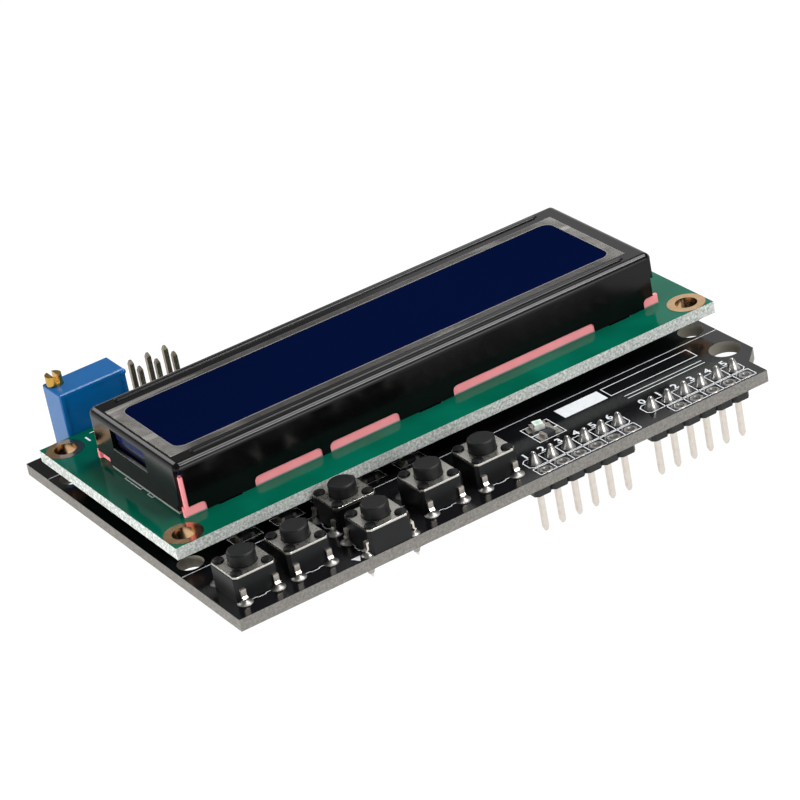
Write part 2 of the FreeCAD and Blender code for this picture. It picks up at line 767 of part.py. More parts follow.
# Pressed steel frame that clamps the display to its board
def lcd_bezel():
    body = new_body("lcd_bezel", x=size.bezel_x, y=BEZEL_Y, z=LCD_TOP)
    sheet_side = size.bezel_sheet
    sketch = new_sketch(body, "bezel_outline")
    rectangle(sketch, length(0), length(0), BEZEL_LENGTH, BEZEL_DEPTH)
    shell = pad(body, sketch, "bezel_block", size.bezel_height)
    shell = rounded(body, shell, "bezel_corners", edges(shell, upright), size.bezel_bend)
    top = edges(shell, level_with(size.bezel_height.value))
    rounded(body, shell, "bezel_bends", top, size.bezel_bend)

    inside = new_sketch(body, "bezel_inside")
    rectangle(inside, length(0), length(0), BEZEL_LENGTH - 2 * sheet_side,
              BEZEL_DEPTH - 2 * sheet_side)
    hollow = cut(body, inside, "bezel_hollow", size.bezel_height - sheet_side)
    hollow.Reversed = True

    window = new_sketch(body, "bezel_window", offset=size.bezel_height)
    window_x = size.window_x - size.bezel_x
    rectangle(window, window_x, WINDOW_Y - BEZEL_Y, WINDOW_LENGTH, WINDOW_DEPTH)
    top_opening = cut(body, window, "bezel_opening", 2 * sheet_side)

    def window_corner(edge):
        box = edge.BoundBox
        wide = abs(abs(box.XMin - window_x.value) - WINDOW_LENGTH.value / 2) < 1e-6
        return upright(edge) and wide and box.ZMin > size.bezel_height.value / 2

    rounded(body, top_opening, "window_corners", edges(top_opening, window_corner),
            size.window_corner)

    beads = new_sketch(body, "bezel_beads", offset=size.bezel_height)
    for side in (-1, 1):
        rectangle(beads, length(0), side * (BEZEL_DEPTH / 2 - size.bead_inset),
                  WINDOW_LENGTH, size.bead_width)
    cut(body, beads, "bead_grooves", size.bead_sink)

    # the long walls stand on four feet each and are open between them
    gaps = new_sketch(body, "foot_gaps", "XZ_Plane")
    feet = (
        (size.left_foot_inset - BEZEL_LENGTH / 2, size.left_foot_length),
        (size.small_foot_x, size.small_foot_length),
        (size.middle_foot_x, size.middle_foot_length),
        (BEZEL_LENGTH / 2 - size.right_foot_inset, size.right_foot_length),
    )
    start = -(BEZEL_LENGTH / 2) - sheet_side
    for foot_x, foot_length in feet:
        finish = foot_x - foot_length / 2
        outline(gaps, ((start, -sheet_side), (finish, -sheet_side),
                       (finish, size.foot_gap), (start, size.foot_gap)))
        start = foot_x + foot_length / 2
    # the right end wall is the shortest
    finish = BEZEL_LENGTH / 2 + sheet_side
    notch_x = BEZEL_LENGTH / 2 - size.corner_notch_length
    outline(gaps, ((start, -sheet_side), (finish, -sheet_side),
                   (finish, size.right_wall_lift), (notch_x, size.right_wall_lift),
                   (notch_x, size.foot_gap), (start, size.foot_gap)))
    cut(body, gaps, "foot_gap_cut")

    # the left end wall comes down close to the board in its middle part
    end_wall = new_sketch(body, "end_wall_foot", offset=size.end_wall_lift)
    wall_shift = (size.end_wall_front_gap - size.end_wall_back_gap) / 2
    wall_length = BEZEL_DEPTH - size.end_wall_front_gap - size.end_wall_back_gap
    rectangle(end_wall, sheet_side / 2 - BEZEL_LENGTH / 2, wall_shift, sheet_side, wall_length)
    pad(body, end_wall, "end_wall_feet", size.foot_gap - size.end_wall_lift)
    opening = new_sketch(body, "end_windows", "YZ_Plane")
    rectangle(opening, size.end_window_y, size.end_window_sill + size.end_window_height / 2,
              BEZEL_DEPTH * size.end_window_share, size.end_window_height)
    cut(body, opening, "end_window_cut")

    # the four walls are folded down apart, so the corners are open below the bend
    notches = new_sketch(body, "corner_notches")
    for across in (-1, 1):
        for along in (-1, 1):
            rectangle(notches, across * BEZEL_LENGTH / 2, along * BEZEL_DEPTH / 2,
                      2 * size.corner_notch_length, 2 * size.corner_notch_depth)
    notch = cut(body, notches, "corner_notch_cut", size.corner_notch_height)
    notch.Reversed = True

    # three tabs on each side pass the board and are folded in under it
    tabs = new_sketch(body, "tab_legs")
    folds = new_sketch(body, "tab_folds", offset=-size.lcd_thickness)
    for side in (-1, 1):
        for step in (-1, 0, 1):
            rectangle(tabs, step * TAB_SPACING,
                      side * (BEZEL_DEPTH / 2 - sheet_side / 2),
                      size.tab_length, sheet_side)
            rectangle(folds, step * TAB_SPACING,
                      side * (BEZEL_DEPTH / 2 - size.tab_fold / 2),
                      size.tab_length, size.tab_fold)
    pad(body, tabs, "tab_leg_pads", size.lcd_thickness, downward=True)
    pad(body, folds, "tab_fold_pads", sheet_side, downward=True)


# Layers between the display board and the bezel, from the board upwards
def display_stack():
    gap = size.inner_gap
    inner_length = BEZEL_LENGTH - 2 * (size.bezel_sheet + gap)
    inner_depth = BEZEL_DEPTH - 2 * (size.bezel_sheet + gap)
    glass_top = size.bezel_height - size.bezel_sheet - size.polariser_thickness
    strip_height = glass_top - size.glass_thickness
    guide_height = strip_height - size.glass_thickness
    between = inner_depth - 2 * (size.rubber_thickness + gap)

    strips = new_body("rubber_contact_strips", x=size.bezel_x, y=BEZEL_Y, z=LCD_TOP,
                      several=True)
    ends = new_sketch(strips, "rubber_ends", "YZ_Plane")
    reach = BEZEL_DEPTH / 2 - size.bezel_sheet - size.rubber_gap
    for side in (-1, 1):
        rectangle(ends, side * (reach - size.rubber_thickness / 2), strip_height / 2,
                  size.rubber_thickness, strip_height)
    pad(strips, ends, "rubber_run", BEZEL_LENGTH - 2 * (size.bezel_sheet + size.rubber_gap),
        both_ways=True)

    keep(block("lcd_front_glass", size.bezel_x, BEZEL_Y, LCD_TOP + strip_height,
               inner_length, inner_depth, size.glass_thickness))
    keep(block("lcd_rear_glass", size.bezel_x, BEZEL_Y, LCD_TOP + guide_height,
               inner_length, between, size.glass_thickness))
    keep(block("front_polariser", size.window_x, WINDOW_Y, LCD_TOP + glass_top,
               WINDOW_LENGTH + 2 * size.polariser_lap, WINDOW_DEPTH + 2 * size.polariser_lap,
               size.polariser_thickness))
    guide_length = inner_length - size.guide_end_space
    keep(block("backlight_guide", size.bezel_x - size.guide_end_space / 2 + gap, BEZEL_Y,
               LCD_TOP, guide_length, between, guide_height))
    lamp_x = size.bezel_x + inner_length / 2 - size.guide_end_space + gap
    lamp_x = lamp_x + size.lamp_thickness / 2
    keep(block("backlight_lamp", lamp_x, BEZEL_Y, LCD_TOP, size.lamp_thickness,
               between - 2 * size.rubber_thickness, guide_height))

    # clear film laid on top of the bezel
    film_left = size.window_x - WINDOW_LENGTH / 2 - size.film_margin
    film_right = size.window_x + WINDOW_LENGTH / 2 + size.film_margin
    film_left = film_left - size.film_margin_left
    film_x = (film_left + film_right) / 2
    keep(block("protective_film", film_x, WINDOW_Y, BEZEL_TOP, film_right - film_left,
               WINDOW_DEPTH + 2 * size.film_margin, size.film_thickness))


# Two resin blobs over the driver chips under the display board
def driver_blobs():
    body = new_body("driver_blobs", y=LCD_Y, z=LCD_BOTTOM, several=True)
    blob = prism(body, "blob_body", -(size.blob_spacing / 2), length(0), -size.blob_height,
                 size.blob_sides, size.blob_diameter, size.blob_height)
    blob = bevelled(body, blob, "blob_slope", edges(blob, level_with(-size.blob_height.value)),
                    size.blob_edge)
    blobs = repeat(body, [blob], "blobs", length(2), size.blob_spacing)
    blobs.TransformMode = "Whole shape"


# Multi-turn trimmer standing on three leads, with a slotted brass screw
def trimmer():
    body = new_body("trimmer_body", TRIMMER_X, TRIMMER_Y, SHIELD_TOP)
    sketch = new_sketch(body, "trimmer_outline")
    rectangle(sketch, length(0), length(0), size.trimmer_length, size.trimmer_width)
    case = pad(body, sketch, "trimmer_case", size.trimmer_height)
    case = bevelled(body, case, "trimmer_edges",
                    edges(case, lambda edge: upright(edge)
                          or level_with(size.trimmer_height.value)(edge)),
                    size.trimmer_edge)
    under = new_sketch(body, "trimmer_channel", "XZ_Plane")
    rectangle(under, length(0), size.trimmer_standoff / 2,
              size.trimmer_length - 2 * size.trimmer_foot, size.trimmer_standoff)
    cut(body, under, "trimmer_underside")

    # the sealed front is sunk inside a rim on three sides
    panel = new_sketch(body, "trimmer_panel", "XZ_Plane", offset=size.trimmer_width / 2)
    panel_height = size.trimmer_height - size.trimmer_panel_margin
    rectangle(panel, length(0), panel_height / 2,
              size.trimmer_length - 2 * size.trimmer_panel_margin, panel_height)
    cut(body, panel, "trimmer_panel_cut", size.trimmer_panel_sink)
    screw_x = size.screw_inset - size.trimmer_length / 2
    screw_y = size.trimmer_width / 2 - size.screw_inset
    well = new_sketch(body, "screw_well", offset=size.trimmer_height)
    circle(well, screw_x, screw_y, size.screw_diameter + 2 * size.screw_play)
    cut(body, well, "screw_well_cut", size.screw_sink + size.screw_play)

    screw = new_body("trimmer_screw", TRIMMER_X + screw_x, TRIMMER_Y + screw_y,
                     SHIELD_TOP + size.trimmer_height - size.screw_sink)
    section = new_sketch(screw, "screw_outline")
    circle(section, length(0), length(0), size.screw_diameter)
    height = size.screw_sink + size.screw_rise
    pad(screw, section, "screw_shaft", height)
    slot = new_sketch(screw, "screw_slot", offset=height)
    rectangle(slot, length(0), length(0), size.slot_width, 2 * size.screw_diameter)
    cut(screw, slot, "screw_slot_cut", size.slot_sink)

    leads = new_body("trimmer_leads", TRIMMER_X - size.pitch, TRIMMER_Y, SHIELD_TOP,
                     several=True)
    below = size.shield_thickness + size.tail_length
    lead = prism(leads, "lead_wire", length(0), length(0), -below, size.lead_sides,
                 size.trimmer_lead, below + size.trimmer_standoff)
    repeat(leads, [lead], "lead_wires", length(3), size.pitch)


# Push key: housing with riveted steel cover, round plunger, snap dome and two staples
def key(name, x, y, quarter):
    def started(piece, several=False):
        return new_body(f"{name}_{piece}", x, y, SHIELD_TOP, quarter * 90, several)

    half = size.key_body_height
    nothing = length(0)
    corners = [(first * size.peg_spacing / 2, second * size.peg_spacing / 2)
               for first in (-1, 1) for second in (-1, 1)]
    housing = started("housing")
    base = new_sketch(housing, f"{name}_base")
    rectangle(base, nothing, nothing, size.key_side, size.key_side)
    solid = pad(housing, base, f"{name}_block", half)
    bevelled(housing, solid, f"{name}_corners", edges(solid, upright), size.key_corner)
    prism(housing, f"{name}_cavity", nothing, nothing, size.key_floor, size.small_round_sides,
          size.key_cavity, half, away=True)
    tunnel = new_sketch(housing, f"{name}_tunnel", "XZ_Plane")
    for side in (-1, 1):
        rectangle(tunnel, side * size.leg_pitch / 2, size.key_floor - size.leg_sheet / 2,
                  size.leg_width, size.leg_sheet)
    cut(housing, tunnel, f"{name}_tunnel_cut")
    for across, along in corners:
        prism(housing, f"{name}_peg", across, along, half, size.small_round_sides,
              size.peg_diameter, size.key_plate + size.peg_head)

    cover = started("cover")
    flat = new_sketch(cover, f"{name}_cover_outline", offset=half)
    side = size.key_side - 2 * size.key_plate_inset
    rectangle(flat, nothing, nothing, side, side)
    plate = pad(cover, flat, f"{name}_cover_plate", size.key_plate)
    bevelled(cover, plate, f"{name}_cover_corners", edges(plate, upright), size.key_corner)
    prism(cover, f"{name}_cover_hole", nothing, nothing, half, size.round_sides,
          size.plunger_diameter + 2 * size.key_play, size.key_plate, away=True)
    for across, along in corners:
        prism(cover, f"{name}_cover_peg_hole", across, along, half, size.small_round_sides,
              size.peg_diameter + size.key_play, size.key_plate, away=True)

    # the plunger hangs under the cover by its flange and clears the dome by its travel
    plunger = started("plunger")
    flange_top = half - size.key_play / 2
    flange_low = size.key_floor + size.dome_height + size.key_travel + size.key_play / 2
    crown = half + size.key_plate + size.plunger_rise
    prism(plunger, f"{name}_flange", nothing, nothing, flange_low, size.small_round_sides,
          size.plunger_flange, flange_top - flange_low)
    button = prism(plunger, f"{name}_plunger_shaft", nothing, nothing, flange_top,
                   size.round_sides, size.plunger_diameter, crown - flange_top)
    bevelled(plunger, button, f"{name}_plunger_edge", edges(button, level_with(crown.value)),
             size.plunger_edge)

    # each staple is one contact strip with a leg at either end
    legs = started("legs", several=True)
    half_sheet = size.leg_sheet / 2
    reach = size.leg_reach / 2
    tip = -size.shield_thickness - size.tail_length
    kink_middle = size.key_floor / 2 - size.leg_kink
    right_side = (
        (reach + half_sheet, size.key_floor),
        (reach + half_sheet, kink_middle + size.leg_kink),
        (reach + half_sheet + size.leg_kink, kink_middle),
        (reach + half_sheet, kink_middle - size.leg_kink),
        (reach + half_sheet, tip + size.leg_tip),
        (reach, tip),
        (reach - half_sheet, tip + size.leg_tip),
        (reach - half_sheet, kink_middle - size.leg_kink),
        (reach - half_sheet + size.leg_kink, kink_middle),
        (reach - half_sheet, kink_middle + size.leg_kink),
        (reach - half_sheet, size.key_floor - size.leg_sheet),
    )
    left_side = [(-across, up) for across, up in reversed(right_side)]
    staple = new_sketch(legs, f"{name}_staple", "YZ_Plane", offset=-(size.leg_pitch / 2))
    outline(staple, list(right_side) + left_side)
    strip = pad(legs, staple, f"{name}_staple_strip", size.leg_width, both_ways=True)
    repeat(legs, [strip], f"{name}_staples", length(2), size.leg_pitch)


# Snap domes, one hollow disc under each plunger
def key_domes():
    domes = []
    rise = size.dome_height - size.dome_sheet
    for name, x, y, quarter in KEYS:
        body = new_body(f"{name}_dome", x, y, SHIELD_TOP + size.key_floor, finished=False)
        disc = prism(body, f"{name}_dome_disc", length(0), length(0), length(0),
                     size.small_round_sides, size.dome_diameter, size.dome_height)
        bevelled(body, disc, f"{name}_dome_slope",
                 edges(disc, level_with(size.dome_height.value)), rise)
        prism(body, f"{name}_dome_hollow", length(0), length(0), -rise,
              size.small_round_sides, size.dome_diameter - 4 * rise, 2 * rise, away=True)
        domes.append(body)
    keep(group("key_domes", domes))


# Chip resistors, the power lamp and the backlight transistor
def chips():
    body = new_body("chip_resistors", z=SHIELD_TOP, several=True)
    ladder = new_sketch(body, "ladder_base")
    rectangle(ladder, LEFT + size.ladder_end_inset, FRONT + size.ladder_inset,
              size.chip_length, size.chip_width)
    first = pad(body, ladder, "ladder_chip", size.chip_height)
    repeat(body, [first], "ladder_chips", size.ladder_count, size.ladder_pitch)
    single = new_sketch(body, "lamp_resistor_base")
    rectangle(single, LAMP_X, LAMP_RESISTOR_Y, size.chip_length, size.chip_width)
    pad(body, single, "lamp_resistor_chip", size.chip_height)

    lamp = new_body("power_lamp", LAMP_X, LAMP_RESISTOR_Y + size.lamp_step, SHIELD_TOP,
                    angle=-14)
    base = new_sketch(lamp, "lamp_base")
    rectangle(base, length(0), length(0), size.chip_length, size.chip_width)
    pad(lamp, base, "lamp_foot", size.chip_height)
    lens = new_sketch(lamp, "lamp_lens", offset=size.chip_height)
    rectangle(lens, length(0), length(0), size.chip_length - 2 * size.chip_cap,
              size.chip_width)
    pad(lamp, lens, "lamp_lens_block", size.lamp_chip_height - size.chip_height)

    transistor = new_body("backlight_transistor", RIGHT - size.transistor_end_inset,
                          BACK - size.transistor_back_inset, SHIELD_TOP)
    case = new_sketch(transistor, "transistor_outline", offset=size.transistor_lift)
    rectangle(case, length(0), length(0), size.transistor_length, size.transistor_width)
    pad(transistor, case, "transistor_case", size.transistor_height)
    feet = new_sketch(transistor, "transistor_feet")
    reach = size.transistor_span / 2
    rectangle(feet, length(0), reach / 2, size.transistor_foot, reach)
    for side in (-1, 1):
        rectangle(feet, side * size.transistor_foot_spacing / 2, -(reach / 2),
                  size.transistor_foot, reach)
    pad(transistor, feet, "transistor_foot_pads", size.transistor_foot_height)


shield_board()
headers()
header_solder()
lcd_board()
lcd_bezel()
display_stack()
driver_blobs()
trimmer()
for entry in KEYS:
    key(*entry)
key_domes()
chips()
doc.recompute()

# Check every object before anything is written
for thing in doc.Objects:
    if "Invalid" in thing.State or "Error" in thing.State:
        raise RuntimeError(f"{thing.Name} failed: {thing.State}")
for piece in pieces:
    if piece.Shape.isNull() or not piece.Shape.isValid() or not piece.Shape.Solids:
        raise RuntimeError(f"{piece.Label} has no sound shape")
for piece in pieces:
    piece.Shape.exportStep(f"parts/{piece.Label}.step")
    box = piece.Shape.BoundBox
    print(f"{piece.Label:24} solids {len(piece.Shape.Solids):3}"
          f"  volume {piece.Shape.Volume:9.2f}"
          f"  x {box.XMin:7.2f} {box.XMax:7.2f}  y {box.YMin:7.2f} {box.YMax:7.2f}"
          f"  z {box.ZMin:6.2f} {box.ZMax:6.2f}")
print(len(pieces), "pieces")
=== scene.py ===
"""Character display with six keys on a plug-in board.

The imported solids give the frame. This file adds the print, pads, solder and small caps,
gives every part its finish, and sets the stage.
"""

import math

import bmesh
import bpy
from bpy.props import FloatProperty, FloatVectorProperty, PointerProperty
from mathutils import Matrix, Vector


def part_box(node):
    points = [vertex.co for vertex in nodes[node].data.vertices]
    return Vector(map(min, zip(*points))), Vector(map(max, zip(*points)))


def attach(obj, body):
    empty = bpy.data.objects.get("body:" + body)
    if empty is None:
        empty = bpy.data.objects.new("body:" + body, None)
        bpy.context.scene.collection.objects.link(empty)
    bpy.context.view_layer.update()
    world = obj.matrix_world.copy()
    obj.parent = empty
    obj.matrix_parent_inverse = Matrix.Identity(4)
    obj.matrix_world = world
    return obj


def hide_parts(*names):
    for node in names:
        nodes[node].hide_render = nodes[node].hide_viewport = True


bl_info = {
    "name": "Display Keypad Board",
    "version": (1, 0, 0),
    "blender": (4, 5, 0),
    "location": "View3D > Sidebar > Keypad",
    "description": "Finishes the packed display board with print, solder, caps and materials",
    "category": "Object",
}

MM = 0.001
PITCH = 2.54
BODY = "shield"

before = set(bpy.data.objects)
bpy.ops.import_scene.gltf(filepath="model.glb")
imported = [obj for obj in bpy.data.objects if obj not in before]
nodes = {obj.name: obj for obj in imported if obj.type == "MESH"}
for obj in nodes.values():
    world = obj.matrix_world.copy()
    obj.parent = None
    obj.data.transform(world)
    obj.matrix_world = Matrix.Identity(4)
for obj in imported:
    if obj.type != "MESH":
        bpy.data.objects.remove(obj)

KEY_NAMES = ("select_key", "left_key", "up_key", "down_key", "right_key", "reset_key")
TURNED_KEYS = ("up_key", "down_key")


def low_high(node):
    """Return the lowest and highest corner of a solid in millimetres."""
    low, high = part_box(node)
    return low / MM, high / MM


def middle(node):
    """Return the middle of a solid in millimetres."""
    low, high = low_high(node)
    return (low + high) / 2


SHIELD_LOW = low_high("shield_board")[0]
SHIELD_HIGH = low_high("shield_board")[1]
LCD_LOW = low_high("lcd_board")[0]
LCD_HIGH = low_high("lcd_board")[1]
SHIELD_TOP = SHIELD_HIGH.z
SHIELD_BOTTOM = SHIELD_LOW.z
LCD_TOP = LCD_HIGH.z
TAIL_END = low_high("lcd_header_pins")[0].z


def linear(code):
    """Turn an sRGB hex colour into the linear values that Blender wants."""
    values = [int(code[start:start + 2], 16) / 255 for start in (1, 3, 5)]
    return tuple(v / 12.92 if v <= 0.04045 else ((v + 0.055) / 1.055) ** 2.4 for v in values)


def rgba(colour):
    """Return a hex code or three linear values as four linear values."""
    return (*(linear(colour) if isinstance(colour, str) else colour), 1.0)


def length_property(name, description, millimetres):
    return FloatProperty(name=name, description=description, default=millimetres * MM,
                         min=0.0, unit="LENGTH", precision=6)


def colour_property(name, description, code):
    return FloatVectorProperty(name=name, description=description, default=linear(code),
                               subtype="COLOR", size=3, min=0.0, max=1.0)


def angle_property(name, description, degrees):
    return FloatProperty(name=name, description=description, default=math.radians(degrees),
                         subtype="ANGLE")


class KeypadSizes(bpy.types.PropertyGroup):
    """Sizes of the parts that are added to the solids."""

    print_width: length_property("Print width", "Width of the white lines", 0.115)
    print_height: length_property("Print height", "Thickness of the white ink", 0.02)
    digit_height: length_property("Digit height", "Height of the pin numbers", 1.25)
    ring_width: length_property("Ring width", "Width of the plated rings round the screws", 1.0)
    plating: length_property("Plating", "Thickness of the plated metal", 0.04)
    joint_height: length_property("Joint height", "Height of the solder round the pins", 1.54)
    puddle_height: length_property("Puddle height", "Height of the solder round the legs", 0.45)


class KeypadColours(bpy.types.PropertyGroup):
    """Colours of the main finishes."""

    shield_mask: colour_property("Plug-in board", "Mask of the plug-in board", "#0b0b0d")
    display_mask: colour_property("Display board", "Mask of the display board", "#005440")
    window: colour_property("Window", "Polariser of the display at rest", "#030b2a")
    rubber: colour_property("Contact rubber", "Silicone strips inside the bezel", "#f9a2a6")
    trimmer: colour_property("Trimmer", "Moulded case of the trimmer", "#065d9c")
    ink: colour_property("Print", "White ink on the boards", "#e6e8ea")


class KeypadStage(bpy.types.PropertyGroup):
    """Camera and lamps."""

    azimuth: angle_property("Azimuth", "Direction of the camera round the board", -27.247)
    elevation: angle_property("Elevation", "Height of the camera above the horizon", 27.388)
    roll: angle_property("Roll", "Tilt of the picture", -11.106)
    distance: length_property("Distance", "Distance of the camera from the board", 449.62)
    focal_length: FloatProperty(
        name="Focal length", description="Focal length on a 36 mm sensor, in millimetres",
        default=161.11, min=1.0)
    lamp_strength: FloatProperty(
        name="Lamp strength", description="Strength of the soft lamps", default=1.0, min=0.0)


# Shapes

def stroke(shape, points, width, low, high, closed=False):
    """Lay a flat line along points given in millimetres."""
    spots = [shape.verts.new((x * MM, y * MM, low * MM)) for x, y in points]
    pairs = list(zip(spots, spots[1:]))
    if closed:
        pairs.append((spots[-1], spots[0]))
    lines = [shape.edges.new(pair) for pair in pairs]
    wall = bmesh.ops.extrude_edge_only(shape, edges=lines)["geom"]
    upper = [item for item in wall if isinstance(item, bmesh.types.BMVert)]
    bmesh.ops.translate(shape, vec=(0, 0, (high - low) * MM), verts=upper)
    faces = [item for item in wall if isinstance(item, bmesh.types.BMFace)]
    bmesh.ops.recalc_face_normals(shape, faces=faces)
    bmesh.ops.solidify(shape, geom=faces, thickness=width * MM)


def patch(shape, points, low, high):
    """Raise a flat filled outline given in millimetres."""
    spots = [shape.verts.new((x * MM, y * MM, low * MM)) for x, y in points]
    face = shape.faces.new(spots)
    raised = bmesh.ops.extrude_face_region(shape, geom=[face])["geom"]
    upper = [item for item in raised if isinstance(item, bmesh.types.BMVert)]
    bmesh.ops.translate(shape, vec=(0, 0, (high - low) * MM), verts=upper)
    if not face.is_valid:
        shape.faces.new(spots)
    return spots + upper


def block(shape, low, high):
    """Add an upright block between two corners in millimetres."""
    low, high = Vector(low), Vector(high)
    size = Matrix.Diagonal((*((high - low) * MM), 1))
    place = Matrix.Translation((low + high) / 2 * MM)
    return bmesh.ops.create_cube(shape, size=1, matrix=place @ size)["verts"]


def turned(shape, profile, x, y, steps, closed=False):
    """Spin an outline of radius and height about an upright line, in millimetres."""
    spots = [shape.verts.new(((x + radius) * MM, y * MM, height * MM))
             for radius, height in profile]
    pairs = list(zip(spots, spots[1:]))
    if closed:
        pairs.append((spots[-1], spots[0]))
    lines = [shape.edges.new(pair) for pair in pairs]
    bmesh.ops.spin(shape, geom=spots + lines, cent=(x * MM, y * MM, 0), axis=(0, 0, 1),
                   angle=2 * math.pi, steps=steps, use_merge=True)


def digits(shape, text, x, y, height, low, high):
    """Add a generic number lying on a board, in millimetres."""
    curve = bpy.data.curves.new("number", "FONT")
    curve.body = text
    curve.size = height / 0.7 * MM
    curve.align_x = "CENTER"
    curve.align_y = "CENTER"
    curve.offset = 0.03 * MM
    curve.resolution_u = 2
    curve.extrude = (high - low) / 2 * MM
    holder = bpy.data.objects.new("number", curve)
    mesh = bpy.data.meshes.new_from_object(holder)
    mesh.transform(Matrix.Translation(Vector((x, y, (low + high) / 2)) * MM))
    shape.from_mesh(mesh)
    bpy.data.objects.remove(holder)
    bpy.data.curves.remove(curve)
    bpy.data.meshes.remove(mesh)


def finished(shape, name, material, body=BODY, smooth=False):
    """Turn a shape into a piece that rides on a body."""
    bmesh.ops.remove_doubles(shape, verts=shape.verts, dist=1e-7)
    bmesh.ops.recalc_face_normals(shape, faces=shape.faces)
    mesh = bpy.data.meshes.new(name)
    shape.to_mesh(mesh)
    shape.free()
    if smooth:
        mesh.shade_smooth()
        mesh.set_sharp_from_angle(angle=math.radians(40))
    mesh.materials.append(material)
    piece = bpy.data.objects.new(name, mesh)
    bpy.context.scene.collection.objects.link(piece)
    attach(piece, body)
    return piece


def pin_places(node, count, rows=1):
    """Return the middles of the pins of a row, found from its box."""
    low, high = low_high(node)
    half = (high.x - low.x - (count - 1) * PITCH) / 2
    return [(low.x + half + column * PITCH, low.y + half + row * PITCH)
            for row in range(rows) for column in range(count)]


FRONT_PINS = pin_places("power_header_pins", 6) + pin_places("analog_header_pins", 6)
BACK_PINS = pin_places("low_digital_header_pins", 8) + pin_places("high_digital_header_pins", 8)
LCD_PINS = pin_places("lcd_header_pins", 16)
SIX_PINS = pin_places("six_pin_pins", 3, rows=2)
SPARE_PADS = [(x, y - PITCH) for x, y in FRONT_PINS if x < 20 or x > 24]
# lowest and highest y and the sill of the window in the end wall of the bezel
END_WINDOW = (-0.42, 8.38, 17.04)
LEG_PITCH = 4.5
LEG_REACH = 6.5
# middles of the five ladder chips and of the lamp's resistor
LADDER = [(-29.65 + 5.97 * step, -11.27) for step in range(5)]
LAMP_RESISTOR = (9.7, -19.55)


def leg_places(name):
    """Return where the four legs of a key pass the board."""
    spot = middle(f"{name}_plunger")
    places = []
    for across in (-1, 1):
        for along in (-1, 1):
            aside, ahead = across * LEG_PITCH / 2, along * LEG_REACH / 2
            if name in TURNED_KEYS:
                aside, ahead = ahead, aside
            places.append((spot.x + aside, spot.y + ahead))
    return places


LEGS = [place for name in KEY_NAMES for place in leg_places(name)]


# Materials

def add_node(tree, kind, inputs=None, **settings):
    """Add one node, set its settings and sockets, and link what is a socket or a node."""
    node = tree.nodes.new("ShaderNode" + kind)
    for name, value in settings.items():
        setattr(node, name, value)
    for name, value in (inputs or {}).items():
        if isinstance(value, bpy.types.Node):
            value = next(socket for socket in value.outputs if socket.enabled)
        if isinstance(value, bpy.types.NodeSocket):
            tree.links.new(value, node.inputs[name])
        else:
            node.inputs[name].default_value = value
    return node


def new_material(name):
    """Start a material with an empty tree."""
    material = bpy.data.materials.get(name) or bpy.data.materials.new(name)
    material.use_nodes = True
    material.node_tree.nodes.clear()
    return material, material.node_tree


def close_material(material, shader):
    """Link the last shader to the output."""
    add_node(material.node_tree, "OutputMaterial", {"Surface": shader})
    return material


def object_point(tree):
    return add_node(tree, "TexCoord").outputs["Object"]


def per_metre(millimetres):
    """Return the scale of a pattern whose grain has this size."""
    return 1 / (millimetres * MM)


def set_ramp(node, low, first, high, second):
    """Place the two colours of a ramp."""
    ends = node.color_ramp.elements
    ends[0].position, ends[0].color = low, rgba(first)
    ends[1].position, ends[1].color = high, rgba(second)


def patches(tree, point, size, detail, first, second):
    """Blend two colours in soft patches, and return the pattern and the colour."""
    cloud = add_node(tree, "TexNoise",
                     {"Vector": point, "Scale": per_metre(size), "Detail": detail})
    colour = add_node(tree, "Mix", {"Factor": cloud, 6: rgba(first), 7: rgba(second)},
                      data_type="RGBA")
    return cloud, colour


def skin(tree, point, size, detail, strength, depth):
    """Raise a fine surface texture, and return its normal."""
    grain = add_node(tree, "TexNoise",
                     {"Vector": point, "Scale": per_metre(size), "Detail": detail})
    return add_node(tree, "Bump",
                    {"Height": grain, "Strength": strength, "Distance": depth * MM})


def outline_mask(tree, point, low, high):
    """Return 1 at the outer edges of a board and 0 inside its outline."""
    spread = add_node(tree, "SeparateXYZ", {"Vector": point})
    masks = []
    for axis, first, last in (("X", low.x, high.x), ("Y", low.y, high.y)):
        offset = add_node(tree, "Math",
                          {0: spread.outputs[axis], 1: (first + last) / 2 * MM},
                          operation="SUBTRACT")
        distance = add_node(tree, "Math", {0: offset}, operation="ABSOLUTE")
        masks.append(add_node(tree, "Math",
                              {0: distance, 1: ((last - first) / 2 - 0.3) * MM},
                              operation="GREATER_THAN"))
    # the stepped corner at the right end lies outside a slanting line
    slant = add_node(tree, "Math",
                     {0: spread.outputs["X"], 1: spread.outputs["Y"]}, operation="SUBTRACT")
    masks.append(add_node(tree, "Math", {0: slant, 1: 60.5 * MM}, operation="GREATER_THAN"))
    both = add_node(tree, "Math", {0: masks[0], 1: masks[1]}, operation="MAXIMUM")
    return add_node(tree, "Math", {0: both, 1: masks[2]}, operation="MAXIMUM").outputs[0]


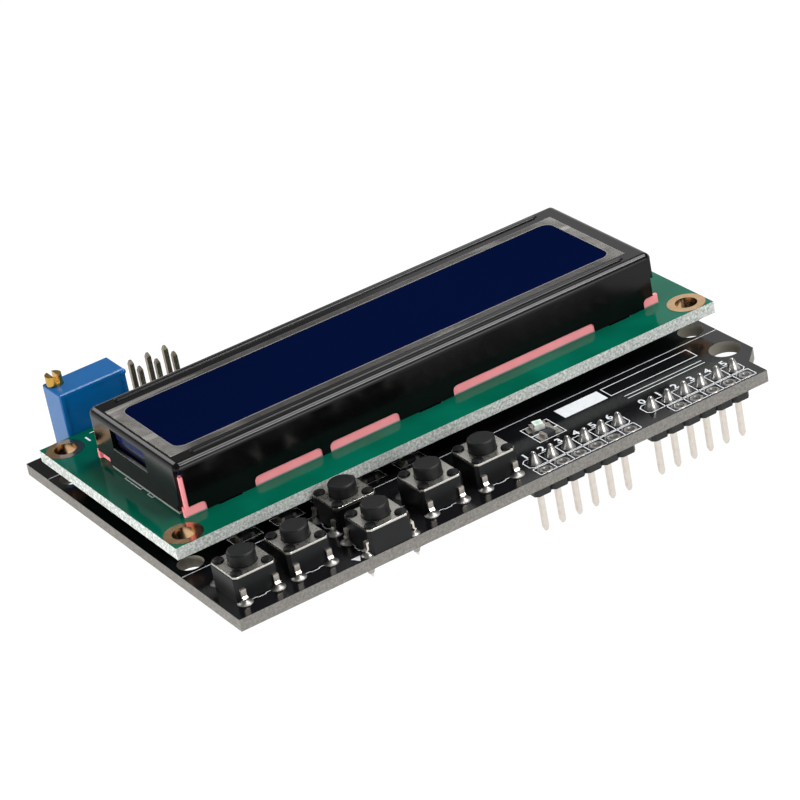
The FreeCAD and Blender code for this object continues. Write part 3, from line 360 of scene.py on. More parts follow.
def board_material(name, mask, shade, edge_dark, edge_light, gloss, shine, low, high):
    """Glass-fibre laminate under glossy solder mask.

    The flat sides have the mask with the faint weave of the cloth under it, and the sawn
    edges and bores show the bare speckled fibre.
    """
    material, tree = new_material(name)
    coordinates = add_node(tree, "TexCoord")
    point = coordinates.outputs["Object"]
    normal = add_node(tree, "SeparateXYZ", {"Vector": coordinates.outputs["Normal"]})
    flat = add_node(tree, "Math", {0: normal.outputs["Z"]}, operation="ABSOLUTE").outputs[0]
    masked = add_node(tree, "Math", {0: flat, 1: 0.7}, operation="GREATER_THAN").outputs[0]
    # fibre ends in the sawn edge are about 0.25 mm long
    fibre = add_node(tree, "TexNoise",
                     {"Vector": point, "Scale": per_metre(0.35), "Detail": 4.0,
                      "Roughness": 0.75})
    speckle = add_node(tree, "ValToRGB", {"Fac": fibre})
    set_ramp(speckle, 0.36, edge_dark, 0.64, edge_light)
    # the mask is a little lighter where copper lies under it, in patches of a few millimetres
    copper = add_node(tree, "TexNoise", {"Vector": point, "Scale": per_metre(9.0), "Detail": 2.0})
    coat = add_node(tree, "ValToRGB", {"Fac": copper})
    set_ramp(coat, 0.4, mask, 0.62, shade)
    # the drilled bores inside the outline are browned
    outside = outline_mask(tree, point, low, high)
    bare = add_node(tree, "Mix",
                    {"Factor": outside, 6: rgba("#77746a"), 7: speckle}, data_type="RGBA")
    colour = add_node(tree, "Mix", {"Factor": masked, 6: bare, 7: coat}, data_type="RGBA")
    roughness = add_node(tree, "Mix", {"Factor": masked, 2: 0.8, 3: gloss}, data_type="FLOAT")
    # cloth threads are 0.5 mm apart
    weave = add_node(tree, "TexWave",
                     {"Vector": point, "Scale": per_metre(0.5) / 20, "Distortion": 1.5,
                      "Detail": 2.0}, wave_type="BANDS", bands_direction="DIAGONAL")
    relief = add_node(tree, "Mix",
                      {"Factor": masked, 2: fibre, 3: weave.outputs["Fac"]}, data_type="FLOAT")
    strength = add_node(tree, "Mix", {"Factor": masked, 2: 0.5, 3: 0.03}, data_type="FLOAT")
    bump = add_node(tree, "Bump", {"Height": relief, "Strength": strength, "Distance": 0.05 * MM})
    shader = add_node(tree, "BsdfPrincipled",
                      {"Base Color": colour, "Roughness": roughness, "Specular IOR Level": shine,
                       "Normal": bump})
    return close_material(material, shader)


def moulded_material(name, colour, shade, roughness, grain, strength=0.15, specular=0.4):
    """Moulded plastic or resin: an even colour with a faint cloud and a fine skin texture."""
    material, tree = new_material(name)
    point = object_point(tree)
    shader = add_node(tree, "BsdfPrincipled",
                      {"Base Color": patches(tree, point, grain * 8, 3.0, colour, shade)[1],
                       "Roughness": roughness, "Specular IOR Level": specular,
                       "Normal": skin(tree, point, grain, 2.0, strength, 0.03)})
    return close_material(material, shader)


def metal_material(name, colour, shade, rough_low, rough_high, grain, strength=0.2):
    """Plated, rolled or turned metal: its polish and tint vary in small patches."""
    material, tree = new_material(name)
    point = object_point(tree)
    cloud, tint = patches(tree, point, grain * 5, 4.0, colour, shade)
    polish = add_node(tree, "MapRange", {"Value": cloud, "From Min": 0.3, "From Max": 0.7,
                                         "To Min": rough_low, "To Max": rough_high})
    shader = add_node(tree, "BsdfPrincipled",
                      {"Base Color": tint, "Metallic": 1.0, "Roughness": polish,
                       "Normal": skin(tree, point, grain, 3.0, strength, 0.02)})
    return close_material(material, shader)


def paint_material():
    """Black baked paint on pressed steel: smooth, with the finest orange peel."""
    material, tree = new_material("black baked paint")
    point = object_point(tree)
    tone, colour = patches(tree, point, 6.0, 3.0, "#040404", "#090909")
    rough = add_node(tree, "MapRange", {"Value": tone, "To Min": 0.12, "To Max": 0.2})
    shader = add_node(tree, "BsdfPrincipled",
                      {"Base Color": colour, "Roughness": rough, "Specular IOR Level": 0.25,
                       "Normal": skin(tree, point, 0.6, 2.0, 0.06, 0.05)})
    return close_material(material, shader)


def even_material(name, first, second, size, roughness, specular):
    """Display glass or film on glass: smooth, with a soft drift between two colours."""
    material, tree = new_material(name)
    colour = patches(tree, object_point(tree), size, 1.0, first, second)[1]
    shader = add_node(tree, "BsdfPrincipled",
                      {"Base Color": colour, "Roughness": roughness,
                       "Specular IOR Level": specular})
    return close_material(material, shader)


# picture area under the film: lowest and highest x and y, and the radius of its corners
PICTURE = (-33.0, 31.64, -4.85, 9.62, 1.4)


def film_material():
    """Clear protective film: it clings to the polariser and lies loose on the paint.

    Loose film has air under it and looks milky grey, and clinging film can't be seen.
    """
    material, tree = new_material("clear protective film")
    point = object_point(tree)
    low_x, high_x, low_y, high_y, corner = PICTURE
    centre = Vector(((low_x + high_x) / 2, (low_y + high_y) / 2, 0)) * MM
    reach = Vector(((high_x - low_x) / 2 - corner, (high_y - low_y) / 2 - corner, 1000)) * MM
    # distance from the picture area, which has round corners
    offset = add_node(tree, "VectorMath", {0: point, 1: tuple(centre)}, operation="SUBTRACT")
    away = add_node(tree, "VectorMath", {0: offset}, operation="ABSOLUTE")
    beyond = add_node(tree, "VectorMath", {0: away, 1: tuple(reach)}, operation="SUBTRACT")
    outward = add_node(tree, "VectorMath", {0: beyond, 1: (0.0, 0.0, 0.0)}, operation="MAXIMUM")
    distance = add_node(tree, "VectorMath", {0: outward}, operation="LENGTH").outputs["Value"]
    clinging = add_node(tree, "Math", {0: distance, 1: corner * MM}, operation="LESS_THAN")
    # the film lifts most at the two ends of the bezel, and least along its long sides
    spread = add_node(tree, "SeparateXYZ", {"Vector": beyond})
    ends = add_node(tree, "MapRange",
                    {"Value": spread.outputs["X"], "From Min": (corner - 2.5) * MM,
                     "From Max": (corner + 0.6) * MM, "To Min": 0.3, "To Max": 1.0})
    clouds = add_node(tree, "TexNoise",
                      {"Vector": point, "Scale": per_metre(3.0), "Detail": 4.0, "Roughness": 0.6})
    cloudy = add_node(tree, "MapRange",
                      {"Value": clouds, "From Min": 0.3, "From Max": 0.7, "To Min": 0.22,
                       "To Max": 0.46})
    # painted highlights: light streaks run along the film
    stretched = add_node(tree, "VectorMath",
                         {0: point, 1: (0.16, 1.0, 1.0)}, operation="MULTIPLY")
    highlight_streak_noise = add_node(tree, "TexNoise",
                       {"Vector": stretched, "Scale": per_metre(2.2), "Detail": 1.5})
    painted_highlight_streaks = add_node(tree, "MapRange",
                       {"Value": highlight_streak_noise, "From Min": 0.6, "From Max": 0.7, "To Min": 0.0,
                        "To Max": 0.22})
    lifted = add_node(tree, "Math", {0: cloudy, 1: ends}, operation="MULTIPLY")
    # the milky loose film with the painted highlight streaks added
    milk_and_streaks = add_node(tree, "Math", {0: lifted, 1: painted_highlight_streaks}, operation="ADD")
    # painted highlight: a thin light line follows the edge of the picture area
    rim_highlight = add_node(tree, "MapRange",
                   {"Value": distance, "From Min": (corner + 0.1) * MM,
                    "From Max": (corner + 0.28) * MM, "To Min": 0.42, "To Max": 0.0})
    # the milky loose film together with its painted highlights
    milk_and_highlights = add_node(tree, "Math", {0: milk_and_streaks, 1: rim_highlight}, operation="MAXIMUM")
    clear = add_node(tree, "BsdfTransparent")
    loose = add_node(tree, "BsdfPrincipled",
                     {"Base Color": rgba("#b9b5b0"), "Roughness": 0.35,
                      "Specular IOR Level": 0.5})
    hazy = add_node(tree, "MixShader", {"Fac": milk_and_highlights, 1: clear, 2: loose})
    whole = add_node(tree, "MixShader", {"Fac": clinging, 1: hazy, 2: clear})
    return close_material(material, whole)


def lamp_material():
    """White lamp chip with clear resin that shows its green die in the middle."""
    material, tree = new_material("lamp chip resin")
    point = object_point(tree)
    spot = middle("power_lamp")
    centred = add_node(tree, "Mapping",
                       {"Vector": point, "Location": tuple(-value * MM for value in spot)},
                       vector_type="POINT")
    distance = add_node(tree, "VectorMath", {0: centred}, operation="LENGTH")
    die = add_node(tree, "MapRange",
                   {"Value": distance, "From Min": 0.25 * MM, "From Max": 0.75 * MM,
                    "To Min": 1.0, "To Max": 0.0})
    colour = add_node(tree, "Mix",
                      {"Factor": die, 6: rgba("#f1f4ee"), 7: rgba("#63b79a")}, data_type="RGBA")
    shader = add_node(tree, "BsdfPrincipled",
                      {"Base Color": colour, "Roughness": 0.25, "Specular IOR Level": 0.6})
    return close_material(material, shader)


def make_materials():
    """Make every finish of the board once."""
    colours = bpy.context.scene.keypad_colours
    window = tuple(colours.window)
    lighter = [min(1.0, value * 1.25) for value in window]
    return {
        # black solder mask is thick and glossy, and its sawn edge is grey-beige fibre
        "shield": board_material("black masked laminate", tuple(colours.shield_mask), "#131316",
                                 "#686662", "#86837e", 0.14, 0.3, SHIELD_LOW, SHIELD_HIGH),
        # green solder mask lets the copper under it show as a lighter green
        "display": board_material("green masked laminate", tuple(colours.display_mask),
                                  "#015f4a", "#868c88", "#dee2de", 0.1, 0.13, LCD_LOW, LCD_HIGH),
        "paint": paint_material(),
        # polariser film on glass is deep blue, very even and almost without a reflection
        "window": even_material("display polariser", window, lighter, 25.0, 0.12, 0.0),
        "film": film_material(),
        # the sheets of the display glass have a blue cell between them
        "glass": even_material("display glass", "#10132e", "#262b5c", 2.0, 0.1, 0.3),
        # moulded silicone: soft sheen, faintly mottled pink
        "rubber": moulded_material("pink silicone", tuple(colours.rubber), "#f0898f", 0.55, 0.3,
                                   0.2, 0.3),
        # nylon strips come out of the mould satin black
        "nylon": moulded_material("moulded black nylon", "#101113", "#1a1b1d", 0.42, 0.2),
        # key housings are satin black plastic, a little grey where light grazes them
        "key plastic": moulded_material("moulded key plastic", "#0c0d0e", "#141517", 0.35, 0.15,
                                        0.15, 0.25),
        # rubbed plastic caps are darker and duller than the housings
        "cap": moulded_material("rubbed cap plastic", "#090a0a", "#131414", 0.45, 0.18, 0.2,
                                0.25),
        "resin": moulded_material("black casting resin", "#0c0c0d", "#161617", 0.2, 0.8, 0.1),
        "chip": moulded_material("glazed chip ceramic", "#26262a", "#3c3c40", 0.35, 0.2),
        # the light guide and the backlight lamp are dark navy: painted shade of the inside of the
        # bezel, seen through its end window
        "guide": moulded_material("milky light guide", "#12162e", "#0c1024", 0.3, 1.0),
        # the trimmer's case is glossy blue moulding, mottled where it was sealed
        "trimmer": moulded_material("blue trimmer moulding", tuple(colours.trimmer), "#055188",
                                    0.25, 0.25, 0.2, 0.4),
        "ink": moulded_material("white board ink", tuple(colours.ink), "#cfd2d6", 0.6, 0.1, 0.1,
                                0.2),
        # white sheet behind the cell, whose edge shows under the end of the bezel
        "foil": moulded_material("white light sheet", "#90938e", "#7a7d78", 0.5, 0.4),
        # the melted heads of the pegs are smooth and quite black
        "peg": moulded_material("melted peg plastic", "#060607", "#0c0c0d", 0.35, 0.15, 0.1,
                                0.2),
        # tin plate on brass: pale, with a warm cast and a soft shine
        "tin": metal_material("tinned brass", "#e6e0d8", "#cfc6ba", 0.3, 0.45, 0.12, 0.1),
        # the tall bare pins have dulled to a brownish grey
        "dull tin": metal_material("dulled tin plate", "#a39a8c", "#7f7463", 0.3, 0.45, 0.12),
        # solder is bright where it is smooth and grey where it froze rough
        "solder": metal_material("tin solder", "#c0bfbd", "#989693", 0.2, 0.36, 0.3, 0.12),
        # hand-soldered puddles and pads froze matt and uneven
        "dull solder": metal_material("matt tin solder", "#b9b7b4", "#858380", 0.3, 0.5, 0.3,
                                      0.3),
        # stamped covers are satin steel with fine rolling texture
        "steel": metal_material("satin stamped steel", "#dedbd4", "#c6c3bb", 0.24, 0.36, 0.08,
                                0.08),
        # gold flash over copper, browned on the flat ring
        "gold": metal_material("gold plated copper", "#dfba92", "#b99368", 0.12, 0.26, 0.25,
                               0.1),
        "brass": metal_material("turned brass", "#d9b25c", "#b58a3a", 0.16, 0.3, 0.1),
        "lamp": lamp_material(),
    }


MATERIALS = {}


def material(name):
    if not MATERIALS:
        MATERIALS.update(make_materials())
    return MATERIALS[name]


# Operators

class KEYPAD_OT_finishes(bpy.types.Operator):
    """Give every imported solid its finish"""

    bl_idname = "keypad.finishes"
    bl_label = "Finishes"

    def execute(self, context):
        finishes = {
            "shield": ["shield_board"],
            "display": ["lcd_board"],
            "paint": ["lcd_bezel"],
            "window": ["front_polariser"],
            "film": ["protective_film"],
            "glass": ["lcd_front_glass", "lcd_rear_glass"],
            "rubber": ["rubber_contact_strips"],
            "guide": ["backlight_guide", "backlight_lamp"],
            "resin": ["driver_blobs", "backlight_transistor"],
            "chip": ["chip_resistors"],
            "lamp": ["power_lamp"],
            "trimmer": ["trimmer_body"],
            "brass": ["trimmer_screw"],
            "dull tin": ["six_pin_pins"],
            "solder": ["header_solder"],
            "nylon": [name for name in nodes if name.endswith("_strip")],
            "tin": ["lcd_header_pins", "trimmer_leads"]
            + [name for name in nodes if name.endswith(("_header_pins", "_key_legs"))],
            "key plastic": [f"{name}_housing" for name in KEY_NAMES],
            "cap": [f"{name}_plunger" for name in KEY_NAMES],
            "steel": [f"{name}_cover" for name in KEY_NAMES] + ["key_domes"],
        }
        given = set()
        for finish, names in finishes.items():
            for name in names:
                data = nodes[name].data
                data.materials.clear()
                data.materials.append(material(finish))
                given.add(name)
        bare = sorted(set(nodes) - given)
        if bare:
            raise RuntimeError(f"no finish for {bare}")
        return {"FINISHED"}


class KEYPAD_OT_board_print(bpy.types.Operator):
    """Print the white lines and pin numbers on the plug-in board"""

    bl_idname = "keypad.board_print"
    bl_label = "Board print"

    def execute(self, context):
        sizes = context.scene.keypad_sizes
        width = sizes.print_width / MM
        low = SHIELD_TOP
        high = low + sizes.print_height / MM
        shape = bmesh.new()
        left, right = SHIELD_LOW.x, SHIELD_HIGH.x

        def line(points, closed=False):
            stroke(shape, points, width, low, high, closed)

        def box(x, y, across, along, corner=0.0):
            half_x, half_y = across / 2, along / 2
            if corner:
                line([(x - half_x + corner, y - half_y), (x + half_x - corner, y - half_y),
                      (x + half_x, y - half_y + corner), (x + half_x, y + half_y - corner),
                      (x + half_x - corner, y + half_y), (x - half_x + corner, y + half_y),
                      (x - half_x, y + half_y - corner), (x - half_x, y - half_y + corner)],
                     True)
            else:
                line([(x - half_x, y - half_y), (x + half_x, y - half_y),
                      (x + half_x, y + half_y), (x - half_x, y + half_y)], True)

        # outline of the display board above
        line([(left + 0.1, -13.82), (right - 0.1, -13.82)])
        line([(left + 0.1, 21.66), (right - 0.1, 21.66)])
        # boxes round the ladder chips, the lamp and its resistor
        for x, y in LADDER:
            box(x + 0.065, y + 0.025, 4.05, 2.1)
        box(9.71, -17.28, 4.06, 2.53)
        box(9.71, LAMP_RESISTOR[1], 4.06, 2.0)

        # a cell round each front pin and each spare pad
        spare = SPARE_PADS[:6], SPARE_PADS[6:]
        for row, depth, lift in ((FRONT_PINS[:6], 2.5, 0.05), (FRONT_PINS[6:], 2.5, 0.05),
                                 (spare[0], 2.0, 0.22), (spare[1], 2.0, 0.22)):
            corner = 0.5 if depth > 2.2 else 0.15
            reach = len(row) * PITCH
            y = row[0][1] + lift
            box((row[0][0] + row[-1][0]) / 2, y, reach, depth, corner)
            for x, _ in row[1:]:
                wall = x - PITCH / 2
                line([(wall, y - depth / 2), (wall, y + depth / 2)])
        # outline of the six-pin header and of each back row
        six = middle("six_pin_strip")
        box(six.x, six.y, 8.2, 5.0)
        for row in (BACK_PINS[:8], BACK_PINS[8:]):
            box((row[0][0] + row[-1][0]) / 2, row[0][1], 8 * PITCH + 0.2, PITCH, 0.5)
        case = middle("trimmer_body")
        box(case.x, case.y, 10.2, 5.5)

        # kinked line between the two legs on each side of a key
        kink = ((-1.25, 0.0), (-0.7, 0.0), (-0.5, 0.22), (0.5, 0.22), (0.7, 0.0), (1.25, 0.0))
        for name in KEY_NAMES:
            spot = middle(f"{name}_plunger")
            for side in (-1, 1):
                points = [(along, side * (LEG_REACH / 2 + out)) for along, out in kink]
                if name in TURNED_KEYS:
                    points = [(y, x) for x, y in points]
                line([(spot.x + x, spot.y + y) for x, y in points])

        # blank label field: a filled block and an empty frame
        patch(shape, [(13.45, -17.75), (20.0, -17.75), (20.0, -15.15), (13.45, -15.15)],
              low, high)
        line([(20.55, -17.65), (34.1, -17.65), (34.1, -15.15), (20.55, -15.15)], True)
        line([(21.6, -19.0), (33.6, -19.0)])
        line([(21.6, -19.75), (33.6, -19.75)])

        # pin numbers
        digit = sizes.digit_height / MM
        for row, start in ((FRONT_PINS[:6], 1), (FRONT_PINS[6:], 0)):
            for step, (x, y) in enumerate(row):
                digits(shape, str(start + step), x, y + 2.05, digit, low, high)
        for number, (x, y) in enumerate(reversed(BACK_PINS)):
            digits(shape, str(number), x, y + 2.3, digit * 0.85, low, high)

        # arrows beside the direction keys
        for name, turn, aside, ahead in (
                ("left_key", 2, 4.25, 1.6), ("right_key", 0, -4.1, 1.2),
                ("up_key", 1, 4.6, 2.4), ("down_key", 3, -4.6, -2.0)):
            spot = middle(f"{name}_plunger")
            corners = []
            for step in range(3):
                angle = turn * math.pi / 2 + step * math.tau / 3
                corners.append((spot.x + aside + 0.75 * math.cos(angle),
                                spot.y + ahead + 0.75 * math.sin(angle)))
            patch(shape, corners, low, high)
        finished(shape, "board_print", material("ink"))
        return {"FINISHED"}


class KEYPAD_OT_display_print(bpy.types.Operator):
    """Print the white marks and pin numbers on the display board"""

    bl_idname = "keypad.display_print"
    bl_label = "Display print"

    def execute(self, context):
        sizes = context.scene.keypad_sizes
        width = sizes.print_width / MM
        low = LCD_TOP
        high = low + sizes.print_height / MM
        shape = bmesh.new()
        # brackets of an unused edge connector beside the left end of the bezel
        for back, front in ((6.5, 2.3), (0.6, -0.7)):
            stroke(shape, [(-35.3, back), (-35.9, back), (-35.9, front), (-35.3, front)], width,
                   low, high)
        for side in (-1, 1):
            ends = (LCD_PINS[0][0] - 1.3, LCD_PINS[-1][0] + 1.3)
            y = LCD_PINS[0][1] + side * 1.27
            stroke(shape, [(ends[0], y), (ends[1], y)], width, low, high)
        digits(shape, "1", LCD_PINS[0][0] - 2.2, LCD_PINS[0][1], 1.3, low, high)
        digits(shape, "16", LCD_PINS[-1][0] + 2.6, LCD_PINS[0][1], 1.3, low, high)
        finished(shape, "display_print", material("ink"))
        return {"FINISHED"}


def ring_pad(shape, x, y, low, high, outer, inner, plating, steps=24):
    """Plate a hole: a flat ring on both sides of the board and a lining between them."""
    lining = inner - plating
    turned(shape, [(outer, high), (outer, high + plating), (lining, high + plating),
                   (lining, low - plating), (outer, low - plating), (outer, low),
                   (inner, low), (inner, high)], x, y, steps, closed=True)


class KEYPAD_OT_pads(bpy.types.Operator):
    """Plate the screw holes and the spare pads"""

    bl_idname = "keypad.pads"
    bl_label = "Plated pads"

    def execute(self, context):
        sizes = context.scene.keypad_sizes
        plating = sizes.plating / MM
        hole = 1.5
        shape = bmesh.new()
        for x in (LCD_LOW.x + 2.5, LCD_HIGH.x - 2.5):
            for y in (LCD_LOW.y + 2.5, LCD_HIGH.y - 2.5):
                ring_pad(shape, x, y, LCD_LOW.z, LCD_HIGH.z, hole + sizes.ring_width / MM,
                         hole, plating, 48)
        finished(shape, "screw_pads", material("gold"), smooth=True)

        # spare pads are tinned, with a soft swelling of solder round the hole
        shape = bmesh.new()
        for x, y in SPARE_PADS:
            turned(shape, [(0.86, SHIELD_TOP), (0.84, SHIELD_TOP + 0.05),
                           (0.7, SHIELD_TOP + 0.11), (0.55, SHIELD_TOP + 0.09),
                           (0.47, SHIELD_TOP - 0.02), (0.45, SHIELD_BOTTOM + 0.02),
                           (0.55, SHIELD_BOTTOM - 0.09), (0.7, SHIELD_BOTTOM - 0.11),
                           (0.84, SHIELD_BOTTOM - 0.05), (0.86, SHIELD_BOTTOM),
                           (0.46, SHIELD_BOTTOM + 0.05), (0.48, SHIELD_TOP - 0.05)],
                   x, y, 20, closed=True)
        finished(shape, "spare_pads", material("dull solder"), smooth=True)
        return {"FINISHED"}


def joint(shape, x, y, board, away, base, neck, height, steps=20):
    """Solder cone with a hollow flank, from the board to the neck round a pin."""
    profile = [(0.0, board), (base, board), (base * 0.97, board + away * 0.04)]
    for share in (0.15, 0.35, 0.55, 0.75, 1.0):
        radius = neck + (base * 0.93 - neck) * (1 - share) ** 1.5
        profile.append((radius, board + away * height * share))
    profile.append((0.0, board + away * (height + 0.02)))
    turned(shape, profile, x, y, steps)


class KEYPAD_OT_solder(bpy.types.Operator):
    """Solder the headers, the key legs and the other tails"""

    bl_idname = "keypad.solder"
    bl_label = "Solder"

    def execute(self, context):
        sizes = context.scene.keypad_sizes
        height = sizes.joint_height / MM
        puddle = sizes.puddle_height / MM
        shape = bmesh.new()
        profile = [(0.0, 0.0), (0.94, 0.0), (0.9, 0.05), (0.8, 0.2), (0.7, 0.42),
                   (0.6, 0.7), (0.48, 1.0), (0.35, 1.28), (0.22, 1.46), (0.12, 1.53),
                   (0.0, 1.54)]
        stretch = height / 1.54
        for x, y in FRONT_PINS + BACK_PINS:
            turned(shape, [(r, SHIELD_TOP + z * stretch) for r, z in profile], x, y, 24)
        joints = finished(shape, "header_joints", material("solder"), smooth=True)
        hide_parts("header_solder")

        shape = bmesh.new()
        for x, y in LEGS:
            # the solder stops at the edge of the board
            base = min(1.0, y - SHIELD_LOW.y - 0.03)
            joint(shape, x, y, SHIELD_TOP, 1, base, 0.36, puddle)
            joint(shape, x, y, SHIELD_BOTTOM, -1, base, 0.38, 0.8)
        finished(shape, "leg_joints", material("dull solder"), smooth=True)

        shape = bmesh.new()
        for x, y in LCD_PINS:
            joint(shape, x, y, LCD_TOP, 1, 0.9, 0.36, 0.9, 16)
            joint(shape, x, y, SHIELD_BOTTOM, -1, 0.9, 0.36, 0.85, 16)
        for x, y in SIX_PINS:
            joint(shape, x, y, SHIELD_BOTTOM, -1, 0.9, 0.36, 0.85, 16)
        leads = middle("trimmer_leads")
        for step in (-1, 0, 1):
            joint(shape, leads.x + step * PITCH, leads.y, SHIELD_BOTTOM, -1, 0.85, 0.28, 0.8,
                  16)
        finished(shape, "tail_joints", material("solder"), smooth=True)
        return {"FINISHED"}


class KEYPAD_OT_key_caps(bpy.types.Operator):
    """Round the plungers and the melted heads of the pegs"""

    bl_idname = "keypad.key_caps"
    bl_label = "Key caps"

    def execute(self, context):
        for name in KEY_NAMES:
            node = f"{name}_plunger"
            low, high = low_high(node)
            spot = (low + high) / 2
            top = high.z
            radius, edge, flange_radius = 1.75, 0.3, 2.05
            shape = bmesh.new()
            profile = [(0.0, top - 0.03), (radius - 0.75, top - 0.02), (radius - edge, top)]
            for step in range(1, 6):
                angle = step * math.pi / 10
                profile.append((radius - edge + edge * math.sin(angle),
                                top - edge + edge * math.cos(angle)))
            flange = low.z + 0.75
            profile += [(radius + 0.02, flange), (flange_radius, flange),
                        (flange_radius, low.z), (0.0, low.z)]
            turned(shape, profile, spot.x, spot.y, 48)
            cap = finished(shape, f"{name}_cap", material("cap"),
                           body=name.replace("_key", "_button"), smooth=True)
            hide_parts(node)

        shape = bmesh.new()
        peg = 2.15
        for name in KEY_NAMES:
            spot = middle(f"{name}_plunger")
            plate = low_high(f"{name}_cover")[1].z
            for across in (-peg, peg):
                for along in (-peg, peg):
                    turned(shape, [(0.0, plate), (0.76, plate), (0.77, plate + 0.12),
                                   (0.7, plate + 0.24), (0.48, plate + 0.31),
                                   (0.0, plate + 0.33)], spot.x + across, spot.y + along, 20)
        finished(shape, "peg_heads", material("peg"), smooth=True)

        # pressing rounds the edges of the covers, and they catch the light
        for name in KEY_NAMES:
            cover = nodes[f"{name}_cover"]
            joined = cover.modifiers.new("joined faces", "WELD")
            joined.merge_threshold = 0.001 * MM
            rounding = cover.modifiers.new("pressed edges", "BEVEL")
            rounding.width = 0.13 * MM
            rounding.segments = 3
            rounding.limit_method = "ANGLE"
            rounding.angle_limit = math.radians(60)
        return {"FINISHED"}


class KEYPAD_OT_bezel_details(bpy.types.Operator):
    """Fill the gaps under the bezel with rubber and raise its two beads"""

    bl_idname = "keypad.bezel_details"
    bl_label = "Bezel details"

    def execute(self, context):
        low, high = low_high("lcd_bezel")
        rubber = low_high("rubber_contact_strips")[1].z
        gap = 1.3
        recess, inside = 0.12, 0.6
        feet = ((-32.45, -25.55), (-15.9, -14.7), (-4.55, 3.55), (25.2, 33.0))
        shape = bmesh.new()
        for side in (-1, 1):
            wall = low.y if side < 0 else high.y
            rows = sorted((wall - side * recess, wall - side * inside))
            start = low.x + 0.12
            for first, last in (*feet, (high.x - 0.12, high.x)):
                block(shape, (start, rows[0], LCD_TOP), (first, rows[1], LCD_TOP + gap - 0.03))
                start = last
            block(shape, (low.x + 0.38, rows[0], LCD_TOP + gap - 0.03),
                  (low.x + 0.83, rows[1], rubber - 0.1))
        finished(shape, "rubber_lips", material("rubber"))

        # the gaps between the feet have round upper corners
        sheet, round_off, steps = 0.5, 0.65, 5
        shape = bmesh.new()
        for side in (-1, 1):
            wall = low.y if side < 0 else high.y - sheet
            for first, last in feet:
                for x, way in ((first, -1), (last, 1)):
                    centre = Vector((x + way * round_off, LCD_TOP + gap - round_off))
                    points = [(x, LCD_TOP + gap)]
                    for step in range(steps + 1):
                        angle = step * math.pi / 2 / steps
                        points.append((centre.x - way * round_off * math.cos(angle),
                                       centre.y + round_off * math.sin(angle)))
                    verts = patch(shape, points, -wall - sheet, -wall)
                    bmesh.ops.rotate(shape, verts=verts, cent=(0, 0, 0),
                                     matrix=Matrix.Rotation(math.pi / 2, 3, "X"))
        finished(shape, "gap_corners", material("paint"))

        # edge of the light sheet in the low gaps under the bezel, and the sheared edge of the
        # end window
        shape = bmesh.new()
        block(shape, (low.x + 0.08, low.y + 1.6, LCD_TOP),
              (low.x + 0.45, high.y - 3.9, LCD_TOP + 0.34))
        starts = [low.x + 0.2] + [last for _, last in feet]
        ends = [first for first, _ in feet] + [high.x - 0.2]
        for side in (-1, 1):
            wall = low.y if side < 0 else high.y
            rows = sorted((wall - side * 0.03, wall - side * 0.1))
            for start, end in zip(starts, ends):
                block(shape, (start, rows[0], LCD_TOP), (end, rows[1], LCD_TOP + 0.14))
        finished(shape, "light_sheet", material("foil"))
        shape = bmesh.new()
        block(shape, (low.x - 0.02, END_WINDOW[0], END_WINDOW[2]),
              (low.x + 0.3, END_WINDOW[1], END_WINDOW[2] + 0.12))
        finished(shape, "end_window_lip", material("steel"))

        # the clinging film brings the blue picture area up level with the bezel
        low_x, high_x, low_y, high_y, corner = PICTURE
        shape = bmesh.new()
        points = []
        for x, y, start in ((high_x - corner, high_y - corner, 0),
                            (low_x + corner, high_y - corner, 1),
                            (low_x + corner, low_y + corner, 2),
                            (high_x - corner, low_y + corner, 3)):
            for step in range(9):
                angle = (start + step / 8) * math.pi / 2
                points.append((x + corner * math.cos(angle), y + corner * math.sin(angle)))
        patch(shape, points, high.z + 0.01, high.z + 0.03)
        finished(shape, "picture_area", material("window"))

        window = low_high("front_polariser")
        crest = high.z + 0.22
        shape = bmesh.new()
        for side in (-1, 1):
            y = (low.y if side < 0 else high.y) - side * 1.6
            verts = block(shape, (window[0].x + 0.75, y - 0.36, high.z - 0.15),
                          (window[1].x - 0.75, y + 0.36, crest))
            ends = [edge for edge in shape.edges
                    if all(v in verts for v in edge.verts)
                    and abs(edge.verts[0].co.z - edge.verts[1].co.z) > 1e-5]
            bmesh.ops.bevel(shape, geom=ends, offset=0.35 * MM, segments=5, profile=0.5,
                            affect="EDGES", material=-1)
            crown = [edge for edge in shape.edges
                     if all(abs(v.co.z - crest * MM) < 1e-6
                            and abs(v.co.y - y * MM) < 0.4 * MM for v in edge.verts)]
            bmesh.ops.bevel(shape, geom=crown, offset=0.21 * MM, segments=5, profile=0.5,
                            affect="EDGES", material=-1)
        finished(shape, "bezel_beads", material("paint"), smooth=True)
        return {"FINISHED"}


class KEYPAD_OT_trimmer_mark(bpy.types.Operator):
    """Add the moulding mark at the top corner of the trimmer"""

    bl_idname = "keypad.trimmer_mark"
    bl_label = "Trimmer mark"

    def execute(self, context):
        low, high = low_high("trimmer_body")
        shape = bmesh.new()
        place = Matrix.Translation(Vector((high.x - 0.25, low.y + 0.15, high.z - 0.45)) * MM)
        bmesh.ops.create_icosphere(shape, subdivisions=3, radius=0.42 * MM, matrix=place)
        finished(shape, "trimmer_mark", material("trimmer"), smooth=True)
        return {"FINISHED"}


def tin_ends(shape, x, y, level, inner, pad_reach, pad_half):
    """Cap both ends of a chip that is 2 mm long, and tin the pads under them."""
    half_length, half_width, height, skin_depth = 1.0, 0.625, 0.5, 0.02
    for side in (-1, 1):
        cap = sorted((x + side * (half_length + skin_depth), x + side * inner))
        block(shape, (cap[0], y - half_width - skin_depth, level),
              (cap[1], y + half_width + skin_depth, level + height + skin_depth))
        pad = sorted((x + side * half_length, x + side * pad_reach))
        block(shape, (pad[0], y - pad_half, level), (pad[1], y + pad_half, level + 0.06))


